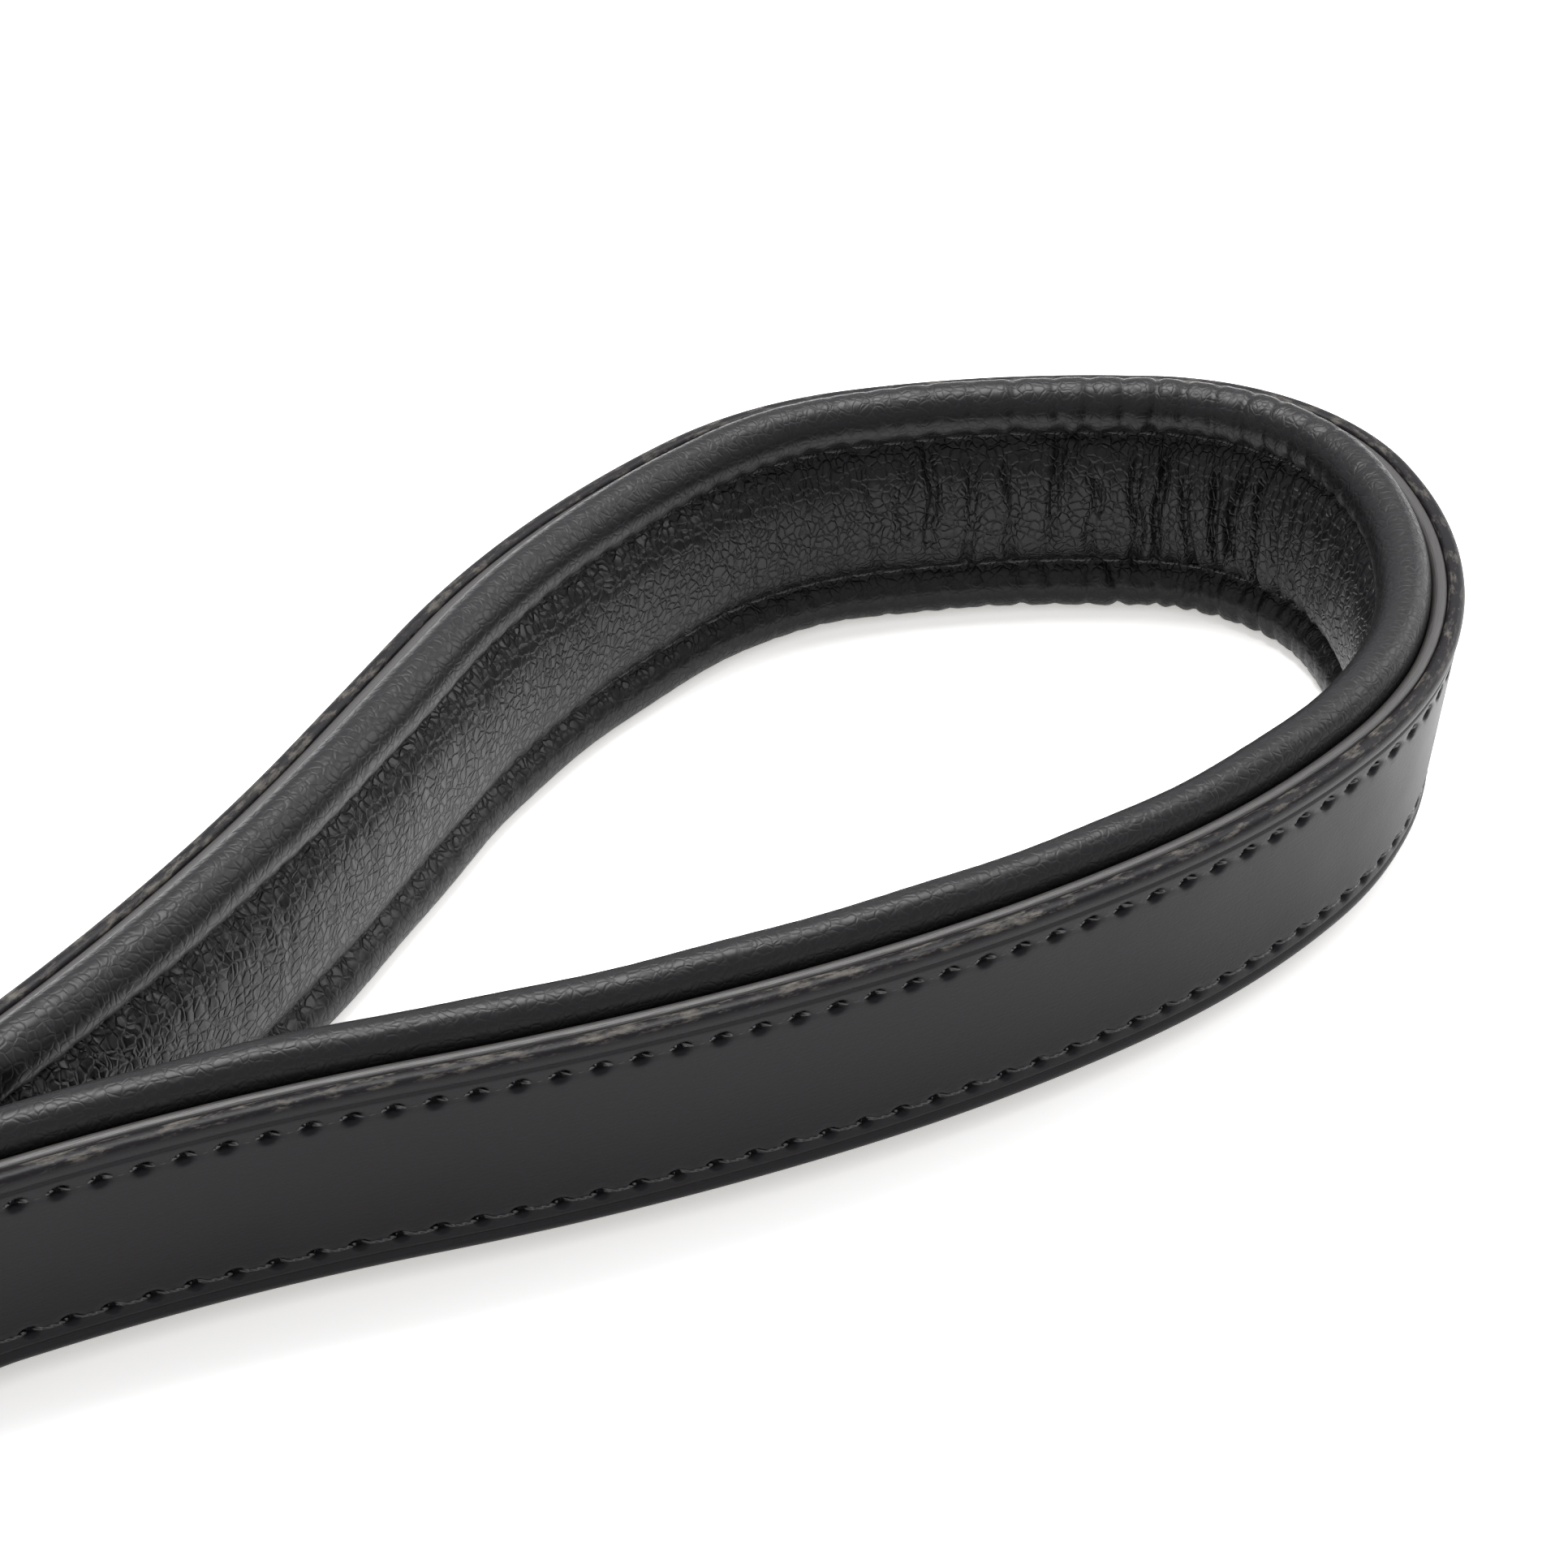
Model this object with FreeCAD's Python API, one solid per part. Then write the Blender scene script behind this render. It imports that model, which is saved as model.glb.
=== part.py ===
import FreeCAD, Part
import math
import os

# Short riding crop with a padded leather hand loop, lying on a flat surface. Millimetres, +Z up.
# The hand loop stands on its long edge, so its flat plan lies in X-Y. The stick runs towards -X,
# tilted a little so that the butt and the tongue's tip both rest on the surface.
# The origin is the bottom centre of the whole crop's box.

V = FreeCAD.Vector

# ---- driving dimensions: hand loop ----
STRAP_WIDTH = 20.0          # outer strap, across its stitching
FACING = 1.5                # outer strap's face layer
BACKING = 1.3               # layer under it
STRAP_T = FACING + BACKING
LINING_HEIGHT = 24.0        # over both rolled edges
ROLL_DEPTH = 4.8            # rolled edges, from the strap's inner face
PAD_DEPTH = 5.2             # padded middle, from the strap's inner face
WEB_DEPTH = 3.0             # lining where the stitching pulls it in
SEAM_INSET = 3.0            # stitch row from the strap's edge
THREAD = 0.5                # thread width
THREAD_SINK = 0.4           # thread's depth below the leather
CENTRE_Z = LINING_HEIGHT / 2
STRAP_LOW = CENTRE_Z - STRAP_WIDTH / 2
STRAP_HIGH = CENTRE_Z + STRAP_WIDTH / 2
SEAM_LOW = STRAP_LOW + SEAM_INSET
SEAM_HIGH = STRAP_HIGH - SEAM_INSET

# The strap's outer face in plan, from one end round to the other: (length, turn in degrees to the left).
TAIL = 25.0                 # straight end inside the keeper
FAR_TAIL = 21.5
LOOP_ARCS = [
    (TAIL, 0),
    (7, -13), (20, -6), (26, -8),                        # out of the crotch, bowing outwards
    (36, 9), (26, 9), (25, 17),                          # first leg
    (46, 58), (29, 66), (29, 18), (19, 31),              # rounded end
    (39, 22), (18, 0), (65, -17),                        # second leg
    (3, 0), (7, -6),                                     # back to the crotch
    (FAR_TAIL, 0),
]
JOINED_HALF = 4.0           # half the thickness where the two strap ends lie together
AXIS_Y = -0.5               # the stick's axis in plan, with the crotch at X = 0
TAIL_END_X = -38.0          # where the strap ends stop

# ---- driving dimensions: butt and swivel ----
BAR_X = -46.0               # bail's bar, which the loop swings on
WIRE_R = 1.5                # bail's wire
BAIL_HALF = 9.0             # half the bail's width, to the wire's centre
BAIL_DEPTH = 12.0           # bar to the middle of the bail's bow
CHAPE_WIDTH = 12.0          # narrower than the straight part of the bar
CHAPE_LEAF = 1.2
CHAPE_END_X = -18.0
CHAPE_INNER_R = 1.8
CHAPE_OUTER_R = CHAPE_INNER_R + CHAPE_LEAF
SHANK_R = 2.0
BORE_CLEAR = 0.06
CAP_START = 14.0            # stations along the stick, from the bar
CAP_FLOOR = 17.5
WASHER_START = 18.0
WASHER_END = 19.5
SHANK_END = 20.9
SOCKET_START = 22.5
CAP_END = 38.0
CAP_R = 11.5
SOCKET_R = 9.6
CORE_START = 26.0
PIN_STATION = 33.0
PIN_R = 1.0
PIN_HALF = 10.8

# ---- driving dimensions: stick and tongue ----
GRIP_LENGTH = 150.0
COLLAR_LENGTH = 8.0
BRAID_LENGTH = 250.0
GRIP_END = CAP_END + GRIP_LENGTH
BRAID_START = GRIP_END + COLLAR_LENGTH
BRAID_END = BRAID_START + BRAID_LENGTH
CORE_END = BRAID_END + 12.0
CORE_R = 3.0
CORE_TIP_R = 2.0
GRIP_CORE_R = 7.6
GRIP_R = 9.2
GRIP_SWELL_R = 9.6          # thickest, under the palm
GRIP_SWELL_AT = 60.0
GRIP_END_R = 8.2
COLLAR_R = 8.5
BRAID_R = 4.6
BRAID_TIP_R = 3.4
WHIPPING = 0.6
WHIPPING_LENGTH = 9.0
ROOT_START = BRAID_END + 0.5
FLEX_STATION = BRAID_END + 26.0
TONGUE_END = BRAID_END + 90.0
LEAF = 2.4
TONGUE_WIDTH = 26.0
TONGUE_NECK = 12.0
TONGUE_CORNER = 6.0
SHOULDER = 18.0             # flex line to the flap's full width
TONGUE_RIVET_AT = 13.0      # past the flex line
TONGUE_HEAD_R = 3.0
TONGUE_HEAD = 0.7
FLEX_CLEAR = 0.35
ROOT_HALF = 3.1
BINDING_T = 0.55
BINDING_LENGTH = 9.0
TILT = math.degrees(math.asin((CENTRE_Z - LEAF) / TONGUE_END))


# ---- hand loop: bands that follow the plan line ----
def loop_stations():
    """Each arc of the plan line as (start station, start point, start heading, length, turn)."""
    x, y, heading, station = TAIL_END_X, AXIS_Y - JOINED_HALF, 0.0, 0.0
    stations = []
    for length, turn in LOOP_ARCS:
        stations.append((station, x, y, heading, length, math.radians(turn)))
        x, y = along(x, y, heading, length, math.radians(turn), length)
        heading += math.radians(turn)
        station += length
    return stations


def along(x, y, heading, length, turn, s):
    """The point s along an arc that starts at (x, y)."""
    if turn == 0:
        return x + s * math.cos(heading), y + s * math.sin(heading)
    radius = length / turn
    end = heading + s / radius
    return x + radius * (math.sin(end) - math.sin(heading)), y - radius * (math.cos(end) - math.cos(heading))


ARCS = loop_stations()
LOOP_LENGTH = sum(length for length, turn in LOOP_ARCS)


def offset_point(arc, s, depth, z):
    """The point s along one arc, depth inside the strap's outer face."""
    station, x, y, heading, length, turn = arc
    px, py = along(x, y, heading, length, turn, s)
    here = heading + turn * s / length
    return V(px - depth * math.sin(here), py + depth * math.cos(here), z)


def offset_edges(depth, z, first, last):
    """The plan line offset inwards by depth, between two stations, as a chain of edges."""
    edges = []
    for arc in ARCS:
        begin = max(first - arc[0], 0.0)
        end = min(last - arc[0], arc[4])
        if end - begin < 1e-6:
            continue
        a = offset_point(arc, begin, depth, z)
        b = offset_point(arc, end, depth, z)
        if arc[5] == 0:
            edges.append(Part.makeLine(a, b))
        else:
            middle = offset_point(arc, (begin + end) / 2, depth, z)
            edges.append(Part.Arc(a, middle, b).toShape())
    return edges


def band(depth_0, depth_1, z_0, z_1, first=0.0, last=LOOP_LENGTH):
    """A strip of the loop: between two depths, two heights and two stations."""
    outer = offset_edges(depth_0, z_0, first, last)
    inner = offset_edges(depth_1, z_0, first, last)
    start = Part.makeLine(outer[0].Vertexes[0].Point, inner[0].Vertexes[0].Point)
    finish = Part.makeLine(outer[-1].Vertexes[-1].Point, inner[-1].Vertexes[-1].Point)
    wire = Part.Wire(Part.__sortEdges__(outer + inner + [start, finish]))
    return Part.Face(wire).extrude(V(0, 0, z_1 - z_0))


def seam(depth, z):
    """One run of thread, sunk into the leather from the given depth inwards or outwards."""
    low = min(depth, depth + THREAD_SINK)
    return band(low, low + THREAD_SINK, z - THREAD / 2, z + THREAD / 2, SEAM_FIRST, LOOP_LENGTH - SEAM_FIRST)


LINING_FIRST = TAIL + 2.0       # the lining starts just past the keeper
SEAM_FIRST = TAIL + 4.0
LINING_RANGE = (LINING_FIRST, LOOP_LENGTH - LINING_FIRST + 3.0)
INNER = STRAP_T                 # the strap's inner face
ROLL_HEIGHT = 3.6
PAD_LOW = SEAM_LOW + 1.4
PAD_HIGH = SEAM_HIGH - 1.4
SKIN = 0.8                      # nappa thickness
CORD_SIZE = 2.2
PINCH = 50.0                    # length over which the two legs press against each other


def parting():
    """The slit at the crotch, where the two padded legs press against each other."""
    gap = 0.3
    return Part.makeBox(PINCH, gap, 40, V(-25, AXIS_Y - gap / 2, -8))


def leg_room():
    """Cuts a leg's padding off where it would cross to the other side of the slit."""
    near = Part.makeBox(PINCH, 12, 40, V(-25, AXIS_Y, -8))
    far = Part.makeBox(PINCH, 12, 40, V(-25, AXIS_Y - 12, -8))
    return near, far


def padded_strip(depth_0, depth_1, z_0, z_1):
    """A band of the lining or its filling, pinched at the crotch so that the legs don't cross."""
    middle = LOOP_LENGTH / 2
    beyond_near, beyond_far = leg_room()
    first_half = band(depth_0, depth_1, z_0, z_1, LINING_RANGE[0], middle).cut([beyond_near, parting()])
    second_half = band(depth_0, depth_1, z_0, z_1, middle, LINING_RANGE[1]).cut([beyond_far, parting()])
    return first_half.fuse(second_half).removeSplitter()


def hand_loop():
    """The hand loop's pieces by node name."""
    upper_outside = seam(0.0, SEAM_HIGH)
    lower_outside = seam(0.0, SEAM_LOW)
    facing = band(0, FACING, STRAP_LOW, STRAP_HIGH).cut([upper_outside, lower_outside])
    backing = band(FACING, STRAP_T, STRAP_LOW, STRAP_HIGH)
    rolls_and_pad = [
        padded_strip(INNER, INNER + WEB_DEPTH, 1.0, LINING_HEIGHT - 1.0),
        padded_strip(INNER, INNER + ROLL_DEPTH, 0.0, ROLL_HEIGHT),
        padded_strip(INNER, INNER + ROLL_DEPTH, LINING_HEIGHT - ROLL_HEIGHT, LINING_HEIGHT),
        padded_strip(INNER, INNER + PAD_DEPTH, PAD_LOW, PAD_HIGH),
    ]
    foam = padded_strip(INNER + SKIN, INNER + PAD_DEPTH - SKIN, PAD_LOW + SKIN, PAD_HIGH - SKIN)
    cord_in = INNER + (ROLL_DEPTH - CORD_SIZE) / 2
    lower_cord = padded_strip(cord_in, cord_in + CORD_SIZE, SKIN, SKIN + CORD_SIZE)
    cord_top = LINING_HEIGHT - SKIN
    upper_cord = padded_strip(cord_in, cord_in + CORD_SIZE, cord_top - CORD_SIZE, cord_top)
    groove = INNER + WEB_DEPTH - THREAD_SINK
    upper_inside = padded_strip(groove, groove + THREAD_SINK, SEAM_HIGH - THREAD / 2, SEAM_HIGH + THREAD / 2)
    lower_inside = padded_strip(groove, groove + THREAD_SINK, SEAM_LOW - THREAD / 2, SEAM_LOW + THREAD / 2)
    lining = rolls_and_pad[0].fuse(rolls_and_pad[1:]).removeSplitter()
    lining = lining.cut([foam, lower_cord, upper_cord, upper_inside, lower_inside])
    return {
        "strap_facing": facing,
        "strap_backing": backing,
        "lining": lining,
        "foam_pad": foam,
        "upper_edge_cord": upper_cord,
        "lower_edge_cord": lower_cord,
        "upper_seam_thread": Part.makeCompound([upper_outside, upper_inside]),
        "lower_seam_thread": Part.makeCompound([lower_outside, lower_inside]),
    }


KEEPER_START = -28.5
KEEPER_WIDTH = 12.0
KEEPER_T = 1.8
RIVET_X = -33.0
RIVET_SPREAD = 4.5
RIVET_R = 1.4
RIVET_HEAD_R = 3.2
RIVET_HEAD = 0.9


def loop_fittings():
    """Keeper, chape and rivets that hold the strap's two ends to the bail."""
    keeper_half_y = JOINED_HALF + 0.05
    keeper = Part.makeBox(
        KEEPER_WIDTH, 2 * (keeper_half_y + KEEPER_T), STRAP_WIDTH + 2 * KEEPER_T,
        V(KEEPER_START, AXIS_Y - keeper_half_y - KEEPER_T, STRAP_LOW - KEEPER_T))
    keeper = keeper.makeFillet(1.2, [e for e in keeper.Edges if abs(e.Vertexes[0].X - e.Vertexes[-1].X) > 1])
    room = Part.makeBox(
        KEEPER_WIDTH + 2, 2 * keeper_half_y, STRAP_WIDTH,
        V(KEEPER_START - 1, AXIS_Y - keeper_half_y, STRAP_LOW))
    keeper = keeper.cut(room)

    low = CENTRE_Z - CHAPE_WIDTH / 2
    leaves = Part.makeBox(
        CHAPE_END_X - BAR_X, 2 * CHAPE_LEAF, CHAPE_WIDTH, V(BAR_X, AXIS_Y - CHAPE_LEAF, low))
    eye = Part.makeCylinder(CHAPE_OUTER_R, CHAPE_WIDTH, V(BAR_X, AXIS_Y, low))
    flare = Part.Face(Part.makePolygon([
        V(BAR_X, AXIS_Y - CHAPE_OUTER_R, low), V(BAR_X + 1.2, AXIS_Y - CHAPE_OUTER_R + 0.3, low),
        V(TAIL_END_X, AXIS_Y - CHAPE_LEAF, low), V(TAIL_END_X, AXIS_Y + CHAPE_LEAF, low),
        V(BAR_X + 1.2, AXIS_Y + CHAPE_OUTER_R - 0.3, low), V(BAR_X, AXIS_Y + CHAPE_OUTER_R, low),
        V(BAR_X, AXIS_Y - CHAPE_OUTER_R, low)])).extrude(V(0, 0, CHAPE_WIDTH))
    hole = Part.makeCylinder(CHAPE_INNER_R, CHAPE_WIDTH, V(BAR_X, AXIS_Y, low))
    chape = leaves.fuse([eye, flare]).cut(hole).removeSplitter()

    rivets = []
    half = JOINED_HALF + 0.05
    for z in (CENTRE_Z - RIVET_SPREAD, CENTRE_Z + RIVET_SPREAD):
        shank = Part.makeCylinder(RIVET_R, 2 * half, V(RIVET_X, AXIS_Y - half, z), V(0, 1, 0))
        cap = Part.makeCylinder(RIVET_HEAD_R, RIVET_HEAD, V(RIVET_X, AXIS_Y + half, z), V(0, 1, 0))
        washer_y = AXIS_Y - half - RIVET_HEAD
        washer = Part.makeCylinder(RIVET_HEAD_R, RIVET_HEAD, V(RIVET_X, washer_y, z), V(0, 1, 0))
        rivets.append(shank.fuse([cap, washer]).removeSplitter())
    return {"keeper_band": keeper, "chape": chape, "chape_rivets": Part.makeCompound(rivets)}


# ---- stick: everything is turned about the stick's own axis, +X from the bar to the tongue ----
def turned(profile):
    """A solid turned about the X axis from (station, radius) points."""
    points = [V(station, 0, radius) for station, radius in profile]
    face = Part.Face(Part.makePolygon(points + [points[0]]))
    return face.revolve(V(0, 0, 0), V(1, 0, 0), 360)


def on_stick(shape):
    """Moves a shape from the stick's own axis to where the stick lies."""
    placed = shape.copy()
    placed.rotate(V(0, 0, 0), V(0, 0, 1), 180)
    placed.rotate(V(0, 0, 0), V(0, 1, 0), -TILT)
    placed.translate(V(BAR_X, AXIS_Y, CENTRE_Z))
    return placed


def core_radius(station):
    """The core rod is parallel in the grip and tapers along the shaft."""
    if station <= BRAID_START:
        return CORE_R
    return CORE_R + (CORE_TIP_R - CORE_R) * (station - BRAID_START) / (CORE_END - BRAID_START)


def braid_radius(station):
    return BRAID_R + (BRAID_TIP_R - BRAID_R) * (station - BRAID_START) / BRAID_LENGTH


def swivel():
    """The bail with its shank, and the washer that its peened end holds."""
    corner = 3.0
    straight = BAIL_HALF - corner
    bar = Part.makeCylinder(WIRE_R, 2 * straight, V(0, 0, -straight))
    wire_pieces = []
    for start, tangent, centre, sweep in (
            (V(0, 0, straight), V(0, 0, 1), V(corner, 0, straight), 90),
            (V(0, 0, -straight), V(0, 0, 1), V(corner, 0, -straight), -90),
            (V(corner, 0, BAIL_HALF), V(1, 0, 0), V(corner, 0, 0), 180)):
        section = Part.Face(Part.Wire(Part.makeCircle(WIRE_R, start, tangent)))
        wire_pieces.append(section.revolve(centre, V(0, 1, 0), sweep))
    bail = bar.fuse(wire_pieces)
    shank = turned([
        (BAIL_DEPTH - 0.6, 0), (BAIL_DEPTH - 0.6, 2.2), (BAIL_DEPTH + 0.6, 3.4), (CAP_START - 0.4, 3.4),
        (CAP_START - 0.4, SHANK_R), (WASHER_END, SHANK_R), (WASHER_END, 3.0), (SHANK_END - 0.5, 3.0),
        (SHANK_END, 2.4), (SHANK_END, 0)])
    washer = turned([(WASHER_START, SHANK_R), (WASHER_START, 4.6), (WASHER_END, 4.6), (WASHER_END, SHANK_R)])
    return {"swivel_bail": bail.fuse(shank).removeSplitter(), "retaining_washer": washer}


def cross_pin():
    """The pin through cap, plug and core."""
    return Part.makeCylinder(PIN_R, 2 * PIN_HALF, V(PIN_STATION, -PIN_HALF, 0), V(0, 1, 0))


def butt():
    """The domed cap with its swivel bore, the plug inside it and the pin that holds both to the core."""
    cap = turned([
        (CAP_START, SHANK_R + BORE_CLEAR), (CAP_START, 6.0), (CAP_START + 1.2, 8.4), (CAP_START + 4.0, 10.4),
        (CAP_START + 8.0, 11.3), (CAP_START + 12.0, CAP_R), (CAP_END - 7.0, 11.1), (CAP_END - 3.0, 10.3),
        (CAP_END - 2.0, 10.9), (CAP_END, 10.9), (CAP_END, SOCKET_R), (SOCKET_START, SOCKET_R),
        (SOCKET_START, 5.6), (CAP_FLOOR, 5.6), (CAP_FLOOR, SHANK_R + BORE_CLEAR)])
    insert = turned([
        (SOCKET_START, 0), (SOCKET_START, SOCKET_R), (CAP_END, SOCKET_R), (CAP_END, CORE_R),
        (CORE_START, CORE_R), (CORE_START, 0)])
    pin = cross_pin()
    return {"butt_cap": cap.cut(pin), "cap_insert": insert.cut(pin), "cap_pin": pin}


def stick():
    """Core, grip, collar, braided cover and its whippings."""
    core = turned([
        (CORE_START, 0), (CORE_START, CORE_R), (BRAID_START, CORE_R), (CORE_END, CORE_TIP_R), (CORE_END, 0)])
    grip_core = turned([
        (CAP_END, CORE_R), (CAP_END, GRIP_CORE_R), (GRIP_END, GRIP_CORE_R), (GRIP_END, CORE_R)])
    wrap = turned([
        (CAP_END, GRIP_CORE_R), (CAP_END, GRIP_R), (CAP_END + GRIP_SWELL_AT, GRIP_SWELL_R),
        (GRIP_END, GRIP_END_R), (GRIP_END, GRIP_CORE_R)])
    collar = turned([
        (GRIP_END, CORE_R), (GRIP_END, COLLAR_R), (GRIP_END + 3.0, COLLAR_R), (GRIP_END + 4.5, 7.6),
        (BRAID_START - 0.8, 6.0), (BRAID_START, 5.4), (BRAID_START, CORE_R)])
    braid = turned([
        (BRAID_START, CORE_R), (BRAID_START, BRAID_R), (BRAID_END, BRAID_TIP_R),
        (BRAID_END, core_radius(BRAID_END))])
    whippings = []
    for start in (BRAID_START, BRAID_END - WHIPPING_LENGTH):
        end = start + WHIPPING_LENGTH
        whippings.append(turned([
            (start, braid_radius(start)), (start, braid_radius(start) + WHIPPING),
            (end, braid_radius(end) + WHIPPING), (end, braid_radius(end))]))
    return {
        "core_rod": core.cut(cross_pin()), "grip_core": grip_core, "grip_wrap": wrap, "grip_collar": collar,
        "shaft_braid": braid, "end_whippings": Part.makeCompound(whippings)}


# ---- tongue ----
def plate(outline, z_0, z_1):
    """A flat plate, mirrored about the X axis from the outline's +Y half."""
    half = [V(x, y, z_0) for x, y in outline]
    other = [V(x, -y, z_0) for x, y in reversed(outline)]
    return Part.Face(Part.makePolygon(half + other + [half[0]])).extrude(V(0, 0, z_1 - z_0))


def tongue_leaf(z_0, z_1):
    """One leather leaf: a narrow neck that widens into the flap, with rounded corners at its tip."""
    shoulder = FLEX_STATION + SHOULDER
    leaf = plate([
        (FLEX_STATION, TONGUE_NECK / 2), (FLEX_STATION + 5, TONGUE_NECK / 2 + 0.4),
        (shoulder, TONGUE_WIDTH / 2), (TONGUE_END, TONGUE_WIDTH / 2)], z_0, z_1)
    upright = [e for e in leaf.Edges if abs(e.Vertexes[0].Z - e.Vertexes[-1].Z) > 1]
    leaf = leaf.makeFillet(TONGUE_CORNER, [e for e in upright if abs(e.Vertexes[0].X - TONGUE_END) < 1e-6])
    knuckle = Part.makeCylinder(LEAF, TONGUE_NECK, V(FLEX_STATION, -TONGUE_NECK / 2, 0), V(0, 1, 0))
    half = Part.makeBox(
        LEAF + 1, TONGUE_NECK, abs(z_1 - z_0), V(FLEX_STATION - LEAF - 1, -TONGUE_NECK / 2, z_0))
    return leaf.fuse(knuckle.common(half)).removeSplitter()


def tongue_groove(z_0, z_1):
    """The stitch line near the flap's edge, as a closed thin frame of thread."""
    first = FLEX_STATION + SHOULDER / 2
    last = TONGUE_END - SEAM_INSET
    half = TONGUE_WIDTH / 2 - SEAM_INSET
    outside = plate([(first, 5.4), (FLEX_STATION + SHOULDER + 1.5, half), (last, half)], z_0, z_1)
    inside = plate([
        (first + THREAD, 5.4 - THREAD / 2), (FLEX_STATION + SHOULDER + 1.5, half - THREAD),
        (last - THREAD, half - THREAD)], z_0, z_1)
    return outside.cut(inside)


def tongue():
    """The bound root on the core, the two leaves, their stitching and the rivet."""
    knuckle_room = Part.makeCylinder(
        LEAF + FLEX_CLEAR, 20, V(FLEX_STATION, -10, 0), V(0, 1, 0))
    side = Part.Face(Part.makePolygon([
        V(ROOT_START, -5, -ROOT_HALF), V(CORE_END + 1, -5, -ROOT_HALF), V(FLEX_STATION - 1.0, -5, -LEAF),
        V(FLEX_STATION - 1.0, -5, LEAF), V(CORE_END + 1, -5, ROOT_HALF), V(ROOT_START, -5, ROOT_HALF),
        V(ROOT_START, -5, -ROOT_HALF)])).extrude(V(0, 10, 0))
    core_room = turned([
        (BRAID_END - 1, 0), (BRAID_END - 1, core_radius(BRAID_END - 1)),
        (CORE_END, CORE_TIP_R), (CORE_END, 0)])
    root = side.cut([knuckle_room, core_room])
    binding_start = ROOT_START + 1.5
    outer_half = ROOT_HALF + BINDING_T
    binding = Part.makeBox(
        BINDING_LENGTH, 10 + 2 * BINDING_T, 2 * outer_half, V(binding_start, -5 - BINDING_T, -outer_half))
    lengthwise = [e for e in binding.Edges if abs(e.Vertexes[0].X - e.Vertexes[-1].X) > 1]
    binding = binding.makeFillet(1.0, lengthwise)
    binding = binding.cut(
        Part.makeBox(BINDING_LENGTH + 2, 10.0, 2 * ROOT_HALF, V(binding_start - 1, -5.0, -ROOT_HALF)))
    top_thread = tongue_groove(LEAF - THREAD_SINK, LEAF)
    bottom_thread = tongue_groove(-LEAF, -LEAF + THREAD_SINK)
    station = FLEX_STATION + TONGUE_RIVET_AT
    rivet = Part.makeCylinder(RIVET_R, 2 * LEAF, V(station, 0, -LEAF))
    heads = [
        Part.makeCylinder(TONGUE_HEAD_R, TONGUE_HEAD, V(station, 0, LEAF)),
        Part.makeCylinder(TONGUE_HEAD_R, TONGUE_HEAD, V(station, 0, -LEAF - TONGUE_HEAD))]
    return {
        "tongue_root": root,
        "tongue_binding": binding,
        "tongue_front_leaf": tongue_leaf(0, LEAF).cut([top_thread, rivet]),
        "tongue_back_leaf": tongue_leaf(-LEAF, 0).cut([bottom_thread, rivet]),
        "tongue_seam_thread": Part.makeCompound([top_thread, bottom_thread]),
        "tongue_rivet": rivet.fuse(heads).removeSplitter(),
    }


# ---- assembly ----
loop = hand_loop()
fittings = loop_fittings()
rivet_holes = []
for z in (CENTRE_Z - RIVET_SPREAD, CENTRE_Z + RIVET_SPREAD):
    rivet_holes.append(Part.makeCylinder(RIVET_R, 12, V(RIVET_X, AXIS_Y - 6, z), V(0, 1, 0)))
for name in ("strap_facing", "strap_backing"):
    loop[name] = loop[name].cut(rivet_holes)
fittings["chape"] = fittings["chape"].cut(rivet_holes + [loop["strap_backing"]])

nodes = {**loop, **fittings}
for group in (swivel(), butt(), stick(), tongue()):
    for name, shape in group.items():
        nodes[name] = on_stick(shape)

whole = Part.makeCompound(list(nodes.values())).optimalBoundingBox()
TO_ORIGIN = V(-whole.Center.x, -whole.Center.y, -whole.ZMin)

os.makedirs("parts", exist_ok=True)
for name, shape in nodes.items():
    shape.translate(TO_ORIGIN)
    if not shape.isValid():
        print("not valid:", name)
    shape.exportStep("parts/" + name + ".step")

print("box", whole.XLength, whole.YLength, whole.ZLength, "moved by", TO_ORIGIN, "tilt", TILT)
print("bar", V(BAR_X, AXIS_Y, CENTRE_Z) + TO_ORIGIN)
flex = on_stick(Part.Vertex(V(FLEX_STATION, 0, 0))).Point + TO_ORIGIN
print("flex", flex, "solids", {name: len(shape.Solids) for name, shape in nodes.items()})
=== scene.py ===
import bpy
import math
import numpy as np
from mathutils import Matrix, Vector


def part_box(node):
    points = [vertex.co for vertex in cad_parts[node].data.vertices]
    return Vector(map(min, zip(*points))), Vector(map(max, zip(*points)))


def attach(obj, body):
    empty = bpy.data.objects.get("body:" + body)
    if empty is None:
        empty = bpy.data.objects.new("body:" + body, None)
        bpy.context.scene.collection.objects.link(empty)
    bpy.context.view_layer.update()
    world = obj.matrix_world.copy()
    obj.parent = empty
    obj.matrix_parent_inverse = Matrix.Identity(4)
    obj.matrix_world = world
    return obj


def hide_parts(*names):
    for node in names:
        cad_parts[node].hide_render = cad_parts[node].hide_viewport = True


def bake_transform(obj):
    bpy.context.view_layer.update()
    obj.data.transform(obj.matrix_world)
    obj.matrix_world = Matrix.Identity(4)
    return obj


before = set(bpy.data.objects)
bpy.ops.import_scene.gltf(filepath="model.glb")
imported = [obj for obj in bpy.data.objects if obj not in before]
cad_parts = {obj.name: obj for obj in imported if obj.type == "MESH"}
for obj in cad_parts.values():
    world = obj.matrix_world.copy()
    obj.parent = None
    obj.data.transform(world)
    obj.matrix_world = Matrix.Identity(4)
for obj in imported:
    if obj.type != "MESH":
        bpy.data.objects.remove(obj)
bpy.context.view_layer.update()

# ---- Table, light and camera ----
# The crop lies on a white table in a bright, soft studio: a white room, a large lamp overhead and a smaller
# one to the right. The camera stands close above the table, leans a little to one side and looks down on
# the hand loop.
STRAP_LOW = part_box("strap_facing")[0]
BAIL_LOW, BAIL_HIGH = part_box("swivel_bail")
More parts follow.
